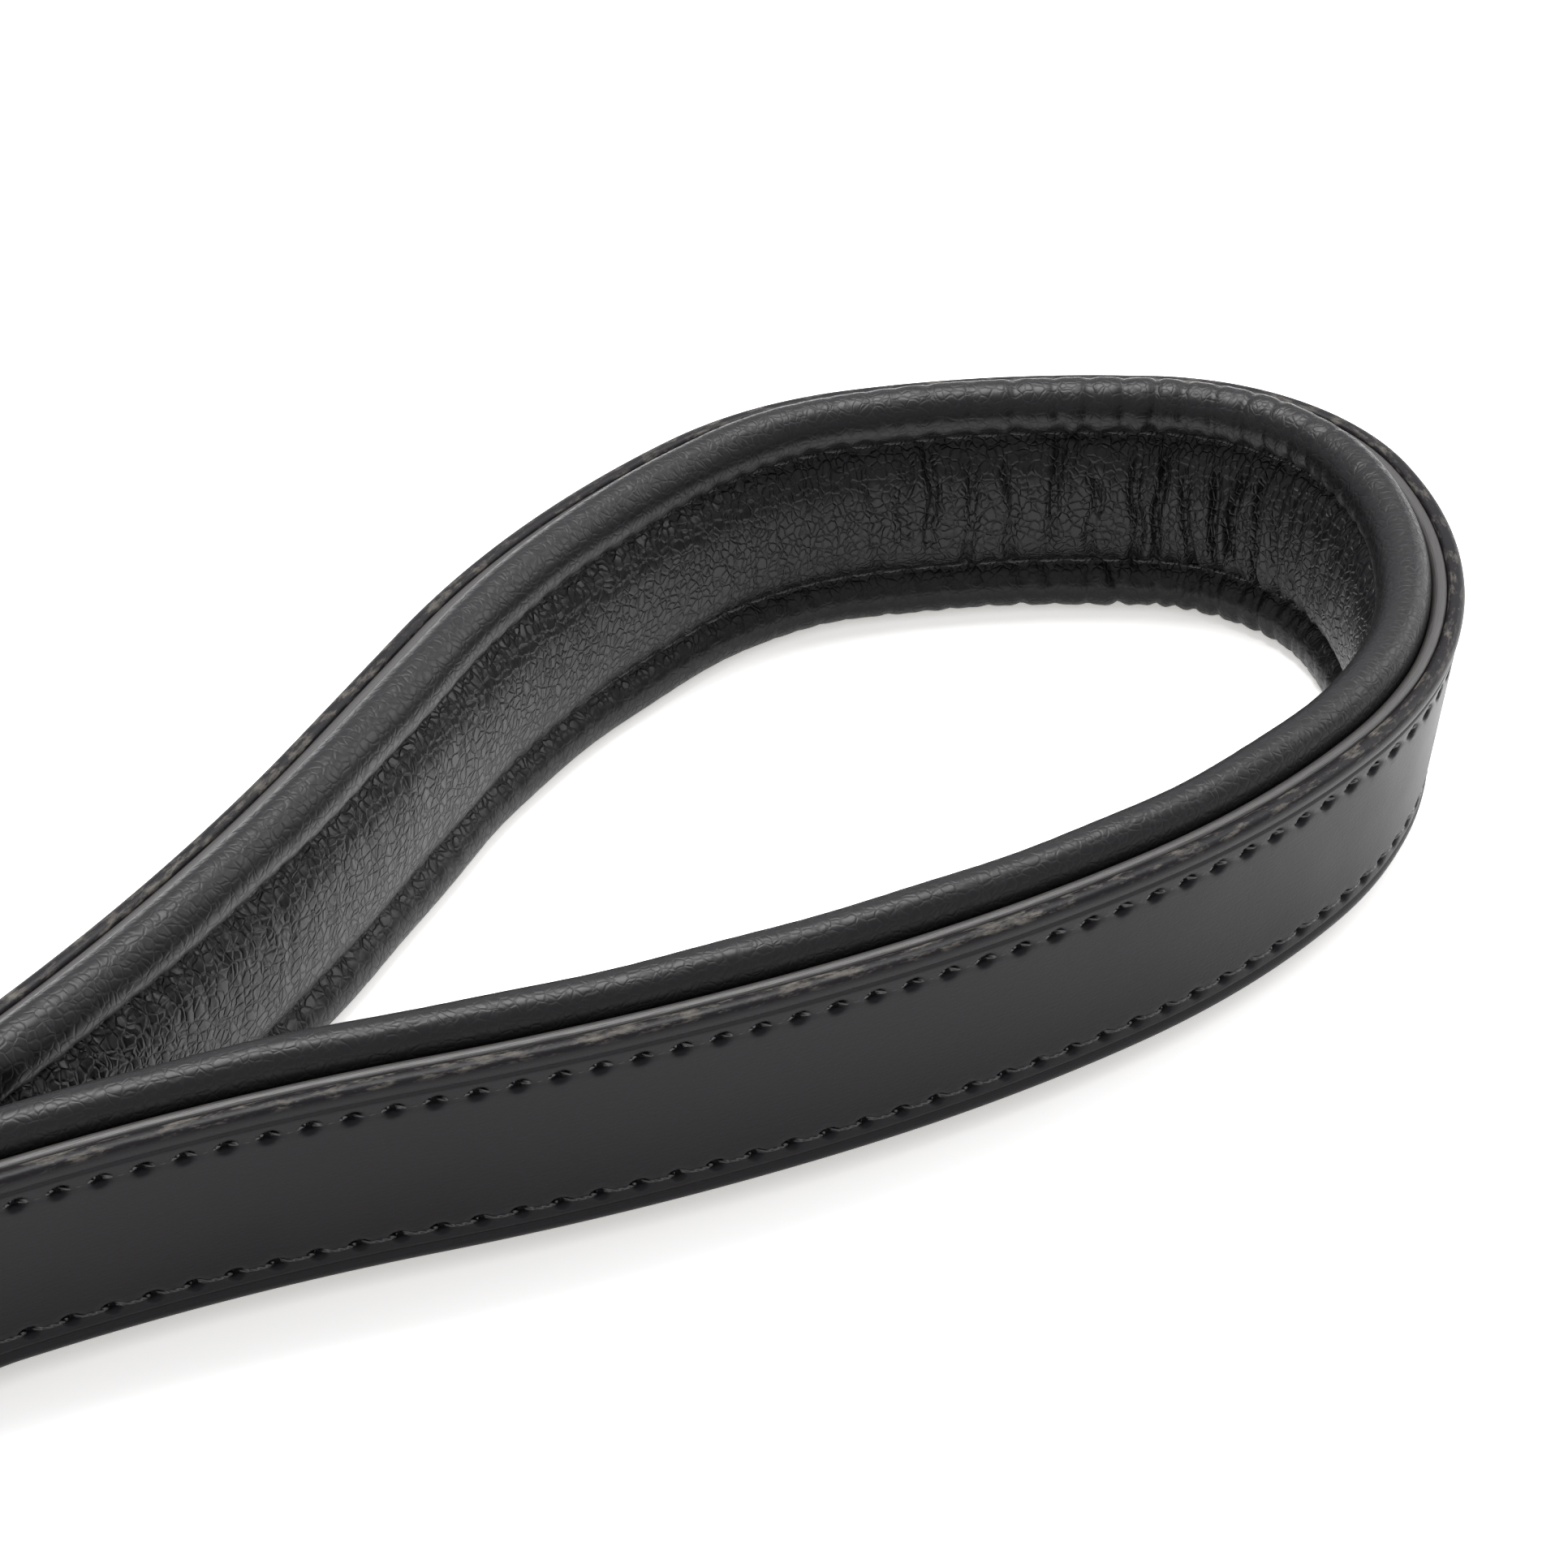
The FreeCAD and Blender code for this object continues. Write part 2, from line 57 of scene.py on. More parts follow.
CROTCH = Vector((STRAP_LOW.x + 0.038, (BAIL_LOW.y + BAIL_HIGH.y) / 2, 0))
LOOP_MIDDLE = CROTCH + Vector((0.085, 0, 0.012))


def linear(hex_colour):
    """An sRGB hex colour as the linear RGBA that the shaders take."""
    channels = [int(hex_colour[i:i + 2], 16) / 255 for i in (1, 3, 5)]
    return tuple(c / 12.92 if c <= 0.04045 else ((c + 0.055) / 1.055) ** 2.4 for c in channels) + (1.0,)


def clear_selection():
    if bpy.context.object and bpy.context.object.mode != "OBJECT":
        bpy.ops.object.mode_set(mode="OBJECT")
    bpy.ops.object.select_all(action="DESELECT")


def new_material(name, colour, roughness, **sockets):
    """A material with its plain values on the shader's own sockets; its patterns are added after."""
    material = bpy.data.materials.new(name)
    material.use_nodes = True
    shader = material.node_tree.nodes["Principled BSDF"]
    shader.inputs["Base Color"].default_value = linear(colour)
    shader.inputs["Roughness"].default_value = roughness
    for socket, value in sockets.items():
        shader.inputs[socket.replace("_", " ")].default_value = value
    return material, material.node_tree, shader


def add_node(tree, kind, settings=(), **links):
    """Adds one shader node. Settings go to its inputs or own values; links join inputs to other outputs."""
    node = tree.nodes.new(kind)
    for key, value in dict(settings).items():
        if isinstance(key, int) or key in node.inputs.keys():
            node.inputs[key].default_value = value
        else:
            setattr(node, key, value)
    for key, output in links.items():
        by_index = key[0] == "i" and key[1:].isdigit()
        socket = node.inputs[int(key[1:])] if by_index else node.inputs[key.replace("_", " ")]
        tree.links.new(output, socket)
    return node


clear_selection()
bpy.ops.mesh.primitive_plane_add(size=6.0, location=(0, 0, 0))
table_top = bpy.context.object
table_top.name = "table_top"
table_card = new_material(
    "white_card", "#fcfcfc", 0.7, Emission_Color=linear("#fffdf8"), Emission_Strength=0.45)
table_top.data.materials.append(table_card[0])

world = bpy.data.worlds.new("white_room")
bpy.context.scene.world = world
world.use_nodes = True
world.node_tree.nodes["Background"].inputs["Color"].default_value = linear("#f8f8fc")
world.node_tree.nodes["Background"].inputs["Strength"].default_value = 0.95


def add_softbox(name, offset, size, watts):
    lamp = bpy.data.lights.new(name, "AREA")
    lamp.shape = "RECTANGLE"
    lamp.size, lamp.size_y = size
    lamp.energy = watts
    holder = bpy.data.objects.new(name, lamp)
    bpy.context.scene.collection.objects.link(holder)
    holder.location = LOOP_MIDDLE + Vector(offset)
    holder.rotation_mode = "QUATERNION"
    holder.rotation_quaternion = (-Vector(offset)).to_track_quat("-Z", "Y")


add_softbox("overhead_softbox", (0.14, 0.20, 0.75), (0.6, 0.4), 12.0)
add_softbox("right_softbox", (0.60, -0.10, 0.35), (0.4, 0.35), 2.0)

camera_data = bpy.data.cameras.new("camera")
camera_data.sensor_width = 36.0
camera_data.lens = 98.16
camera_data.clip_start = 0.005
camera = bpy.data.objects.new("camera", camera_data)
bpy.context.scene.collection.objects.link(camera)
camera.matrix_world = (
    Matrix.Translation(CROTCH + Vector((-0.10951, -0.22385, 0.22142)))
    @ Matrix.Rotation(math.radians(-42.0), 4, "Z")
    @ Matrix.Rotation(math.radians(54.99), 4, "X")
    @ Matrix.Rotation(math.radians(-1.24), 4, "Z"))
bpy.context.scene.camera = camera
bpy.context.scene.view_settings.view_transform = "Standard"

# ---- Strap, face layer ----
# The outside of the hand loop is a strip of black waxed bridle leather, 20 mm wide and 1.5 mm thick. A hot
# iron has creased a line near both edges, and between them the awl has pricked a row of holes 3 mm from
# each edge. Pieces of the loop are modelled flat in millimetres, with X along the strap, Y in from its
# outer face and Z up, and then laid round.
LOOP_ARCS = [
    (25, 0), (7, -13), (20, -6), (26, -8), (36, 9), (26, 9), (25, 17), (46, 58), (29, 66), (29, 18), (19, 31),
    (39, 22), (18, 0), (65, -17), (3, 0), (7, -6), (21.5, 0)]     # (length in mm, degrees to the left)
LOOP_LENGTH = sum(length for length, turn in LOOP_ARCS)
FIRST_CORNER = (-38.0, -4.0)            # where the outer face starts, from the crotch, in mm
MIDDLE_Z = 12.0
FACE_T = 1.5
STRAP_T = 2.8
THREAD_RADIUS = 0.25                    # of the thread on the strap, in mm
INNER_THREAD_RADIUS = 0.27
SEAM_FROM_MIDDLE = 7.0
LEAN = 0.138                            # how far the first leg leans outwards, per mm of height
STITCHES = 138                          # stitch lengths along the whole strap
STITCH = LOOP_LENGTH / STITCHES
SEAM_START, SEAM_STOP = 9, 129          # the first and last holes


def lay_along(flat, route=LOOP_ARCS, corner=FIRST_CORNER, heading=0.0):
    """Flat points (along, depth, height) in mm, laid along a route of arcs from its first corner."""
    arcs, (x, y) = [], corner
    for length, turn in route:
        bend = math.radians(turn) / length
        arcs.append((x, y, heading, bend))
        if bend:
            x += (math.sin(heading + bend * length) - math.sin(heading)) / bend
            y -= (math.cos(heading + bend * length) - math.cos(heading)) / bend
        else:
            x += length * math.cos(heading)
            y += length * math.sin(heading)
        heading += bend * length
    starts = np.cumsum([0] + [length for length, turn in route[:-1]])
    index = np.clip(np.searchsorted(starts, flat[:, 0], side="right") - 1, 0, len(starts) - 1)
    x, y, heading, bend = np.array(arcs)[index].T
    run = flat[:, 0] - starts[index]
    here = heading + bend * run
    safe = np.where(bend == 0, 1.0, bend)
    x = x + np.where(bend == 0, run * np.cos(heading), (np.sin(here) - np.sin(heading)) / safe)
    y = y + np.where(bend == 0, run * np.sin(heading), -(np.cos(here) - np.cos(heading)) / safe)
    x = x - flat[:, 1] * np.sin(here)
    y = y + flat[:, 1] * np.cos(here)
    return np.stack([x, y, flat[:, 2]], 1)


def read_points(piece):
    points = np.empty(len(piece.data.vertices) * 3)
    piece.data.vertices.foreach_get("co", points)
    return points.reshape(-1, 3)


def write_points(piece, points):
    piece.data.vertices.foreach_set("co", np.ascontiguousarray(points, np.float32).ravel())
    piece.data.update()


def keep_flat_points(piece, points):
    """Keeps the points as they were before the piece was laid out, in mm, for the patterns that follow it."""
    kept = piece.data.attributes.get("flat") or piece.data.attributes.new("flat", "FLOAT_VECTOR", "POINT")
    kept.data.foreach_set("vector", np.ascontiguousarray(points, np.float32).ravel())


def lay_round_loop(piece, parting=None):
    """Bends a flat piece round the loop. Padding stops short of the legs' middle line by the parting."""
    flat = read_points(piece)
    keep_flat_points(piece, flat)
    leaning = flat.copy()
    sag = np.interp(flat[:, 0], [25, 45, 176, 242], [0, 1, 1, 0])
    leaning[:, 1] += LEAN * sag * (MIDDLE_Z - flat[:, 2])
    placed = lay_along(leaning)
    if parting is not None:
        near = (flat[:, 0] < LOOP_LENGTH / 2) & (placed[:, 0] < 25)
        far = (flat[:, 0] > LOOP_LENGTH / 2) & (placed[:, 0] < 25)
        placed[near, 1] = np.minimum(placed[near, 1], -parting)
        placed[far, 1] = np.maximum(placed[far, 1], parting)
    write_points(piece, placed * 0.001 + np.array(CROTCH))


def flat_strip(name, outline, steps, start, count):
    """A strip modelled flat: its section is a ring, drawn out by the steps of one length and repeated."""
    clear_selection()
    bpy.ops.mesh.primitive_circle_add(vertices=len(outline), radius=1)
    strip = bpy.context.object
    strip.name = name
    for vertex, (depth, height) in zip(strip.data.vertices, outline):
        vertex.co = (start, depth, height)
    bpy.ops.object.mode_set(mode="EDIT")
    bpy.ops.mesh.select_all(action="SELECT")
    for step in steps:
        bpy.ops.mesh.extrude_region_move(TRANSFORM_OT_translate={"value": (step, 0, 0)})
    bpy.ops.object.mode_set(mode="OBJECT")
    repeat_along(strip, sum(steps), count)
    bpy.ops.object.mode_set(mode="EDIT")
    bpy.ops.mesh.select_all(action="SELECT")
    bpy.ops.mesh.fill_holes(sides=0)
    bpy.ops.mesh.select_all(action="SELECT")
    bpy.ops.mesh.normals_make_consistent(inside=False)
    bpy.ops.object.mode_set(mode="OBJECT")
    bpy.ops.object.shade_smooth()
    return strip


def repeat_along(piece, length, count):
    repeats = piece.modifiers.new("repeats", "ARRAY")
    repeats.count = count
    repeats.use_relative_offset = False
    repeats.use_constant_offset = True
    repeats.constant_offset_displace = (length, 0, 0)
    repeats.use_merge_vertices = True
    repeats.merge_threshold = 0.002
    bpy.ops.object.modifier_apply(modifier=repeats.name)


def both_halves(half):
    """An outline from its upper half, which runs over the top from the middle of one side to the other."""
    above = [(depth, MIDDLE_Z + height) for depth, height in half]
    below = [(depth, MIDDLE_Z - height) for depth, height in reversed(half[1:-1])]
    return above + below


FACE_HALF_OUTLINE = [
    (0, 0), (0, 3.0), (0, 5.4), (0, 6.0), (0, 6.35),
    (0, 6.6), (0, 6.8), (0, 7.0), (0, 7.2), (0, 7.4), (0, 7.65),
    (0, 8.0), (0, 8.25), (0.2, 8.45), (0.0, 8.65), (-0.08, 8.95),
    (-0.07, 9.3), (0.02, 9.6), (0.22, 9.85), (0.5, 9.97),
    (0.85, 10.0), (1.15, 9.97), (1.38, 9.85), (1.47, 9.6), (1.47, 7.0), (1.47, 0)]
CELL_LINES = [-0.5, -0.315, -0.215, -0.143, -0.072, 0.0, 0.072, 0.143, 0.215, 0.315, 0.5]
cell_steps = [(b - a) * STITCH for a, b in zip(CELL_LINES, CELL_LINES[1:])]
face = flat_strip("strap_face", both_halves(FACE_HALF_OUTLINE), cell_steps, 0.0, STITCHES)
flat = read_points(face)
sewn = (flat[:, 0] > SEAM_START * STITCH) & (flat[:, 0] < (SEAM_STOP + 1) * STITCH) & (flat[:, 1] < 0.3)
for side in (-1, 1):
    off_row = flat[:, 2] - (MIDDLE_Z + side * SEAM_FROM_MIDDLE)
    off_hole = (flat[:, 0] / STITCH) % 1.0 * STITCH - STITCH / 2
    channel = 0.07 * np.exp(-(off_row / 0.42) ** 2)
    slant = off_row - side * 0.12 * off_hole
    hole = 0.95 * np.exp(-((off_hole / 0.68) ** 2 + (slant / 0.50) ** 2) ** 1.8)
    flat[sewn, 1] += (channel + hole)[sewn]
write_points(face, flat)
lay_round_loop(face)

# Black bridle leather: dyed through, waxed and plated smooth, so it is a deep satin black with hardly any
# grain. Along the upper edge a warm grey is painted in patches: partly wear, where the hand and the iron have
# rubbed the wax to a dry grey, and partly a painted highlight where the overhead light catches the top corner.
bridle_leather, tree, shader = new_material(
    "black_bridle_leather", "#161417", 0.42, IOR=1.26, Specular_IOR_Level=0.38)
flat_place = add_node(tree, "ShaderNodeAttribute", {"attribute_name": "flat"})
parts = add_node(tree, "ShaderNodeSeparateXYZ", Vector=flat_place.outputs["Vector"])
along_stretch = add_node(tree, "ShaderNodeMapping", {"Scale": (0.35, 1.0, 1.6)},
                         Vector=flat_place.outputs["Vector"])
cloud = add_node(tree, "ShaderNodeTexNoise",
                 {"Scale": 0.12, "Detail": 3.0}, Vector=flat_place.outputs["Vector"])
scuff = add_node(tree, "ShaderNodeTexNoise", {"Scale": 1.3, "Detail": 5.0, "Roughness": 0.7},
                 Vector=along_stretch.outputs["Vector"])
height_up = add_node(tree, "ShaderNodeMath", {"operation": "SUBTRACT", 1: MIDDLE_Z}, i0=parts.outputs["Z"])
edge = add_node(tree, "ShaderNodeMapRange",
                {"From Min": 9.45, "From Max": 9.85}, Value=height_up.outputs["Value"])
patchy = add_node(tree, "ShaderNodeMapRange",
                  {"From Min": 0.50, "From Max": 0.70}, Value=scuff.outputs["Fac"])
# The upper edge's patches take a warm grey: partly real wear, partly a painted highlight along the lit top corner.
wear_and_highlight = add_node(tree, "ShaderNodeMath", {"operation": "MULTIPLY"}, i0=edge.outputs["Result"],
                i1=patchy.outputs["Result"])
wear_and_highlight_amount = add_node(tree, "ShaderNodeMath", {"operation": "MULTIPLY", 1: 0.6}, i0=wear_and_highlight.outputs["Value"])
dye = add_node(tree, "ShaderNodeMix", {"data_type": "RGBA", 6: linear("#0c0a0d"), 7: linear("#151315")},
               Factor=cloud.outputs["Fac"])
wear_and_highlight_colour = add_node(tree, "ShaderNodeMix", {"data_type": "RGBA", 7: linear("#67635c")}, i6=dye.outputs[2],
                       Factor=wear_and_highlight_amount.outputs["Value"])
tree.links.new(wear_and_highlight_colour.outputs[2], shader.inputs["Base Color"])
gloss = add_node(tree, "ShaderNodeMapRange", {"To Min": 0.36, "To Max": 0.50}, Value=cloud.outputs["Fac"])
dull = add_node(tree, "ShaderNodeMath", {"operation": "MULTIPLY_ADD", 1: 0.22}, i0=wear_and_highlight.outputs["Value"],
                i2=gloss.outputs["Result"])
tree.links.new(dull.outputs["Value"], shader.inputs["Roughness"])
# The pores are about 0.25 mm apart, drawn a little coarser so that they show.
pores = add_node(tree, "ShaderNodeTexVoronoi", {"Scale": 3.2}, Vector=flat_place.outputs["Vector"])
fibre = add_node(tree, "ShaderNodeTexNoise", {"Scale": 2.4, "Detail": 6.0, "Roughness": 0.6},
                 Vector=along_stretch.outputs["Vector"])
grain = add_node(tree, "ShaderNodeMath", {"operation": "MULTIPLY_ADD", 1: 0.35}, i0=pores.outputs["Distance"],
                 i2=fibre.outputs["Fac"])
relief = add_node(tree, "ShaderNodeBump",
                  {"Strength": 0.35, "Distance": 0.00006}, Height=grain.outputs["Value"])
tree.links.new(relief.outputs["Normal"], shader.inputs["Normal"])
face.data.materials.append(bridle_leather)
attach(face, "loop")
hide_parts("strap_facing")

# ---- Strap, backing layer ----
# A second strip, 1.3 mm thick, is glued under the face layer to stiffen it. Its edges are inked black and
# burnished together with the face's, which leaves a fine line between the two.
BACK_HALF_OUTLINE = [
    (FACE_T, 0), (FACE_T, 7), (FACE_T, 9.55), (1.62, 9.78), (1.85, 9.9), (2.2, 9.92), (2.5, 9.84), (2.72, 9.62),
    (STRAP_T, 9.2), (STRAP_T, 5), (STRAP_T, 0)]
backing = flat_strip(
    "strap_backing_layer", both_halves(BACK_HALF_OUTLINE), [STITCH / 2, STITCH / 2], 0.0, STITCHES)
lay_round_loop(backing)
# Inked leather edge: matt, rubbed smooth, with the fibres showing as fine lines along it.
edge_ink, tree, shader = new_material("inked_leather_edge", "#1b191a", 0.5)
flat_place = add_node(tree, "ShaderNodeAttribute", {"attribute_name": "flat"})
drawn = add_node(tree, "ShaderNodeMapping", {"Scale": (0.3, 6.0, 3.0)}, Vector=flat_place.outputs["Vector"])
fibres = add_node(tree, "ShaderNodeTexNoise", {"Scale": 1.4, "Detail": 5.0}, Vector=drawn.outputs["Vector"])
ink = add_node(tree, "ShaderNodeMix", {"data_type": "RGBA", 6: linear("#100f10"), 7: linear("#353230")},
               Factor=fibres.outputs["Fac"])
tree.links.new(ink.outputs[2], shader.inputs["Base Color"])
relief = add_node(tree, "ShaderNodeBump", {"Strength": 0.4, "Distance": 0.0001}, Height=fibres.outputs["Fac"])
tree.links.new(relief.outputs["Normal"], shader.inputs["Normal"])
backing.data.materials.append(edge_ink)
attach(backing, "loop")
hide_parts("strap_backing")

# ---- Padded lining ----
# Soft nappa leather lines the inside. It is turned round a cord along each edge, which stands up beyond the
# strap, and padded with foam in the middle. The two seams pull it in, and inside the bend it gathers into
# crosswise creases.
LINING_START = 27.0
LINING_STOP = LOOP_LENGTH - 24.0
LINING_STEP = 0.4
LINING_OUTLINE = [
    (2.82, 12.0), (2.82, 17.0), (2.82, 20.4), (3.0, 22.2),
    (3.8, 23.55), (5.1, 24.05), (6.5, 23.6), (7.45, 22.4),
    (7.6, 21.0), (7.0, 19.9), (6.25, 19.25), (5.9, 19.0), (6.25, 18.7), (7.2, 17.6), (8.0, 15.6), (8.3, 12.0),
    (8.0, 8.4), (7.2, 6.4), (6.25, 5.3), (5.9, 5.0),
    (6.25, 4.75), (7.0, 4.1), (7.6, 3.0), (7.45, 1.6), (6.5, 0.4),
    (5.1, -0.02), (3.8, 0.45), (3.0, 1.8), (2.82, 3.6), (2.82, 7.0)]


def smooth_outline(points, count):
    """Points spaced evenly along a smooth closed line through the given ones."""
    p = np.array(points, float)
    t = np.linspace(0, 1, 12, endpoint=False)[:, None]
    before, after, beyond = np.roll(p, 1, 0), np.roll(p, -1, 0), np.roll(p, -2, 0)
    fine = np.concatenate([
        0.5 * (2 * b + (c - a) * t + (2 * a - 5 * b + 4 * c - d) * t ** 2 + (3 * b - a - 3 * c + d) * t ** 3)
        for a, b, c, d in zip(before, p, after, beyond)])
    closed = np.vstack([fine, fine[:1]])
    distance = np.concatenate([[0], np.cumsum(np.linalg.norm(np.diff(closed, axis=0), axis=1))])
    wanted = np.linspace(0, distance[-1], count, endpoint=False)
    depths = np.interp(wanted, distance, closed[:, 0])
    heights = np.interp(wanted, distance, closed[:, 1])
    return [(float(depth), float(height)) for depth, height in zip(depths, heights)]


lining_outline = smooth_outline(LINING_OUTLINE, 88)
lining_count = int((LINING_STOP - LINING_START) / LINING_STEP)
lining = flat_strip("padded_lining", lining_outline, [LINING_STEP], LINING_START, lining_count)
flat = read_points(lining)

# How tightly the loop bends at each place along it: 0 on a straight leg, 1 at the rounded end.
bend_at = np.zeros(int(LOOP_LENGTH) + 1)
station = 0.0
for length, turn in LOOP_ARCS:
    bend_at[int(station):int(station + length)] = turn / length / 1.35
    station += length
window = np.hanning(41)
bend_at = np.clip(np.convolve(bend_at, window / window.sum(), "same"), 0, 1.2)
bend = np.interp(flat[:, 0], np.arange(len(bend_at)), bend_at)

# Which way the leather faces at each point of the section, to push it in or out.
outline = np.array(lining_outline)
tangent = np.roll(outline, -1, 0) - np.roll(outline, 1, 0)
tangent /= np.linalg.norm(tangent, axis=1)[:, None]
nearest = np.argmin(
    (flat[:, 1, None] - outline[None, :, 0]) ** 2 + (flat[:, 2, None] - outline[None, :, 1]) ** 2, axis=1)
outward = np.stack([-tangent[nearest, 1], tangent[nearest, 0]], 1)
centre = outline.mean(0)
if ((outline - centre) * np.stack([-tangent[:, 1], tangent[:, 0]], 1)).sum() < 0:
    outward = -outward

# The deep creases lie where the loop was bent tightest, past the middle of the rounded end.
CREASED_AT, CREASED_REACH = 238.0, 28.0
creased = np.exp(-((flat[:, 0] - CREASED_AT) / CREASED_REACH) ** 2)
rng = np.random.default_rng(11)
rise = flat[:, 2] - MIDDLE_Z
open_side = np.clip((flat[:, 1] - 3.2) / 1.5, 0, 1)
push = np.zeros(len(flat))
ZONES = [(-12.5, -SEAM_FROM_MIDDLE), (-SEAM_FROM_MIDDLE, SEAM_FROM_MIDDLE), (SEAM_FROM_MIDDLE, 12.5)]
for zone, (low, high) in enumerate(ZONES):
    inside = np.clip((rise - low) / 0.5, 0, 1) * np.clip((high - rise) / 0.5, 0, 1)
    place = LINING_START
    while place < LINING_STOP:
        place += rng.uniform(2.5, 4.4)
        lean, sway, phase = rng.uniform(-0.12, 0.12), rng.uniform(0.1, 0.35), rng.uniform(0, 6.3)
        depth, width = rng.uniform(0.5, 1.0), rng.uniform(0.34, 0.55)
        top, bottom = rng.uniform(0.3, 1.2), rng.uniform(-1.2, -0.3)
        near = np.abs(flat[:, 0] - place) < 4
        z = rise[near] - (low + high) / 2
        span = (high - low) / 2
        away = flat[near, 0] - place - lean * z - sway * np.sin(0.8 * z + phase)
        reach = np.clip((top * span + 2 - z) / 2, 0, 1) * np.clip((z - bottom * span + 2) / 2, 0, 1)
        shape = np.exp(-np.abs(away / width) ** 1.3) - 0.35 * np.exp(-((np.abs(away) - 1.1) / 0.6) ** 2)
        strength = (0.05 + 1.1 * creased[near]) * depth * reach * (0.34 if zone != 1 else 1.15)
        push[near] -= strength * shape * inside[near] * open_side[near]
push = np.maximum(push, -1.0)           # the filling below stops a crease there
# Fine gathers where each stitch pulls the leather in.
for side in (-1, 1):
    off_row = rise - side * SEAM_FROM_MIDDLE
    gathers = np.cos(2 * np.pi * flat[:, 0] / STITCH) * np.exp(-((np.abs(off_row) - 0.8) / 0.6) ** 2)
    push -= (0.07 + 0.07 * bend) * gathers * open_side
# The hide is never quite even.
push += 0.10 * open_side * np.sin(flat[:, 0] / 9.0 + 0.3 * rise) * np.sin(flat[:, 0] / 4.1 + 1.0)
flat[:, 1] += outward[:, 0] * push
flat[:, 2] += outward[:, 1] * push
flat[:, 2] = np.maximum(flat[:, 2], 0.02)
# It thins out to nothing at its two ends, under the keeper's mouth.
from_end = np.minimum(flat[:, 0] - LINING_START, LINING_START + lining_count * LINING_STEP - flat[:, 0])
full = np.clip(from_end / 7.0, 0, 1)
full = 0.18 + 0.82 * np.sqrt(full * (2 - full))
flat[:, 1] = 2.82 + (flat[:, 1] - 2.82) * full
flat[:, 2] = MIDDLE_Z + (flat[:, 2] - MIDDLE_Z) * (0.8 + 0.2 * full)
write_points(lining, flat)
lay_round_loop(lining, parting=0.12)

# Nappa: soft, full-grain and satin black, with a cracked grain and soft crosswise folds.
nappa, tree, shader = new_material("black_nappa", "#0c0b0c", 0.42, IOR=1.32, Specular_IOR_Level=0.5)
flat_place = add_node(tree, "ShaderNodeAttribute", {"attribute_name": "flat"})
cloud = add_node(tree, "ShaderNodeTexNoise",
                 {"Scale": 0.1, "Detail": 3.0}, Vector=flat_place.outputs["Vector"])
dye = add_node(tree, "ShaderNodeMix", {"data_type": "RGBA", 6: linear("#060506"), 7: linear("#0c0b0d")},
               Factor=cloud.outputs["Fac"])
tree.links.new(dye.outputs[2], shader.inputs["Base Color"])
warp = add_node(tree, "ShaderNodeTexNoise",
                {"Scale": 0.45, "Detail": 2.0}, Vector=flat_place.outputs["Vector"])
warped = add_node(tree, "ShaderNodeVectorMath", {"operation": "MULTIPLY_ADD", 1: (1.6, 1.6, 1.6)},
                  i0=warp.outputs["Color"], i2=flat_place.outputs["Vector"])
# The grain is cells about 0.9 mm across with fine cracks between them, on folds about 1.5 mm apart. The
# rolled edges are stretched over their cords, which leaves them almost smooth.
cells = add_node(tree, "ShaderNodeTexVoronoi", {"feature": "DISTANCE_TO_EDGE", "Scale": 1.1},
                 Vector=warped.outputs["Vector"])
cracks = add_node(tree, "ShaderNodeMapRange", {"From Max": 0.16}, Value=cells.outputs["Distance"])
across = add_node(tree, "ShaderNodeMapping", {"Scale": (0.9, 0.4, 0.16)}, Vector=warped.outputs["Vector"])
folds = add_node(tree, "ShaderNodeTexNoise", {"Scale": 0.8, "Detail": 2.0}, Vector=across.outputs["Vector"])
height = add_node(tree, "ShaderNodeMath", {"operation": "MULTIPLY_ADD", 1: 3.2}, i0=folds.outputs["Fac"],
                  i2=cracks.outputs["Result"])
parts = add_node(tree, "ShaderNodeSeparateXYZ", Vector=flat_place.outputs["Vector"])
rise_up = add_node(tree, "ShaderNodeMath", {"operation": "SUBTRACT", 1: MIDDLE_Z}, i0=parts.outputs["Z"])
from_middle = add_node(tree, "ShaderNodeMath", {"operation": "ABSOLUTE"}, i0=rise_up.outputs["Value"])
grain_depth = add_node(tree, "ShaderNodeMapRange",
                       {"From Min": 6.5, "From Max": 8.5, "To Min": 0.65, "To Max": 0.2},
                       Value=from_middle.outputs["Value"])
relief = add_node(tree, "ShaderNodeBump", {"Distance": 0.00014}, Height=height.outputs["Value"],
                  Strength=grain_depth.outputs["Result"])
tree.links.new(relief.outputs["Normal"], shader.inputs["Normal"])
gloss = add_node(tree, "ShaderNodeMapRange", {"To Min": 0.50, "To Max": 0.38}, Value=cracks.outputs["Result"])
tree.links.new(gloss.outputs["Result"], shader.inputs["Roughness"])
lining.data.materials.append(nappa)
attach(lining, "loop")
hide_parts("lining")

# ---- Filling of the lining ----
# A strip of closed-cell foam fills the padded middle, and a soft twisted cord fills each rolled edge. All
# three are sewn in and can't be seen from outside.
foam_outline = both_halves([(3.7, 0), (3.7, 3.6), (4.2, 4.6), (5.4, 4.9), (6.4, 4.1), (7.0, 2.2), (7.1, 0)])
foam = flat_strip("foam_filling", foam_outline, [1.5], LINING_START + 6, 252)
lay_round_loop(foam, parting=0.9)
foam_rubber, tree, shader = new_material("closed_cell_foam", "#3a3a3d", 0.85)
flat_place = add_node(tree, "ShaderNodeAttribute", {"attribute_name": "flat"})
cells = add_node(tree, "ShaderNodeTexVoronoi", {"Scale": 2.5}, Vector=flat_place.outputs["Vector"])
tone = add_node(tree, "ShaderNodeMix", {"data_type": "RGBA", 6: linear("#2b2b2e"), 7: linear("#4a4a4e")},
                Factor=cells.outputs["Distance"])
tree.links.new(tone.outputs[2], shader.inputs["Base Color"])
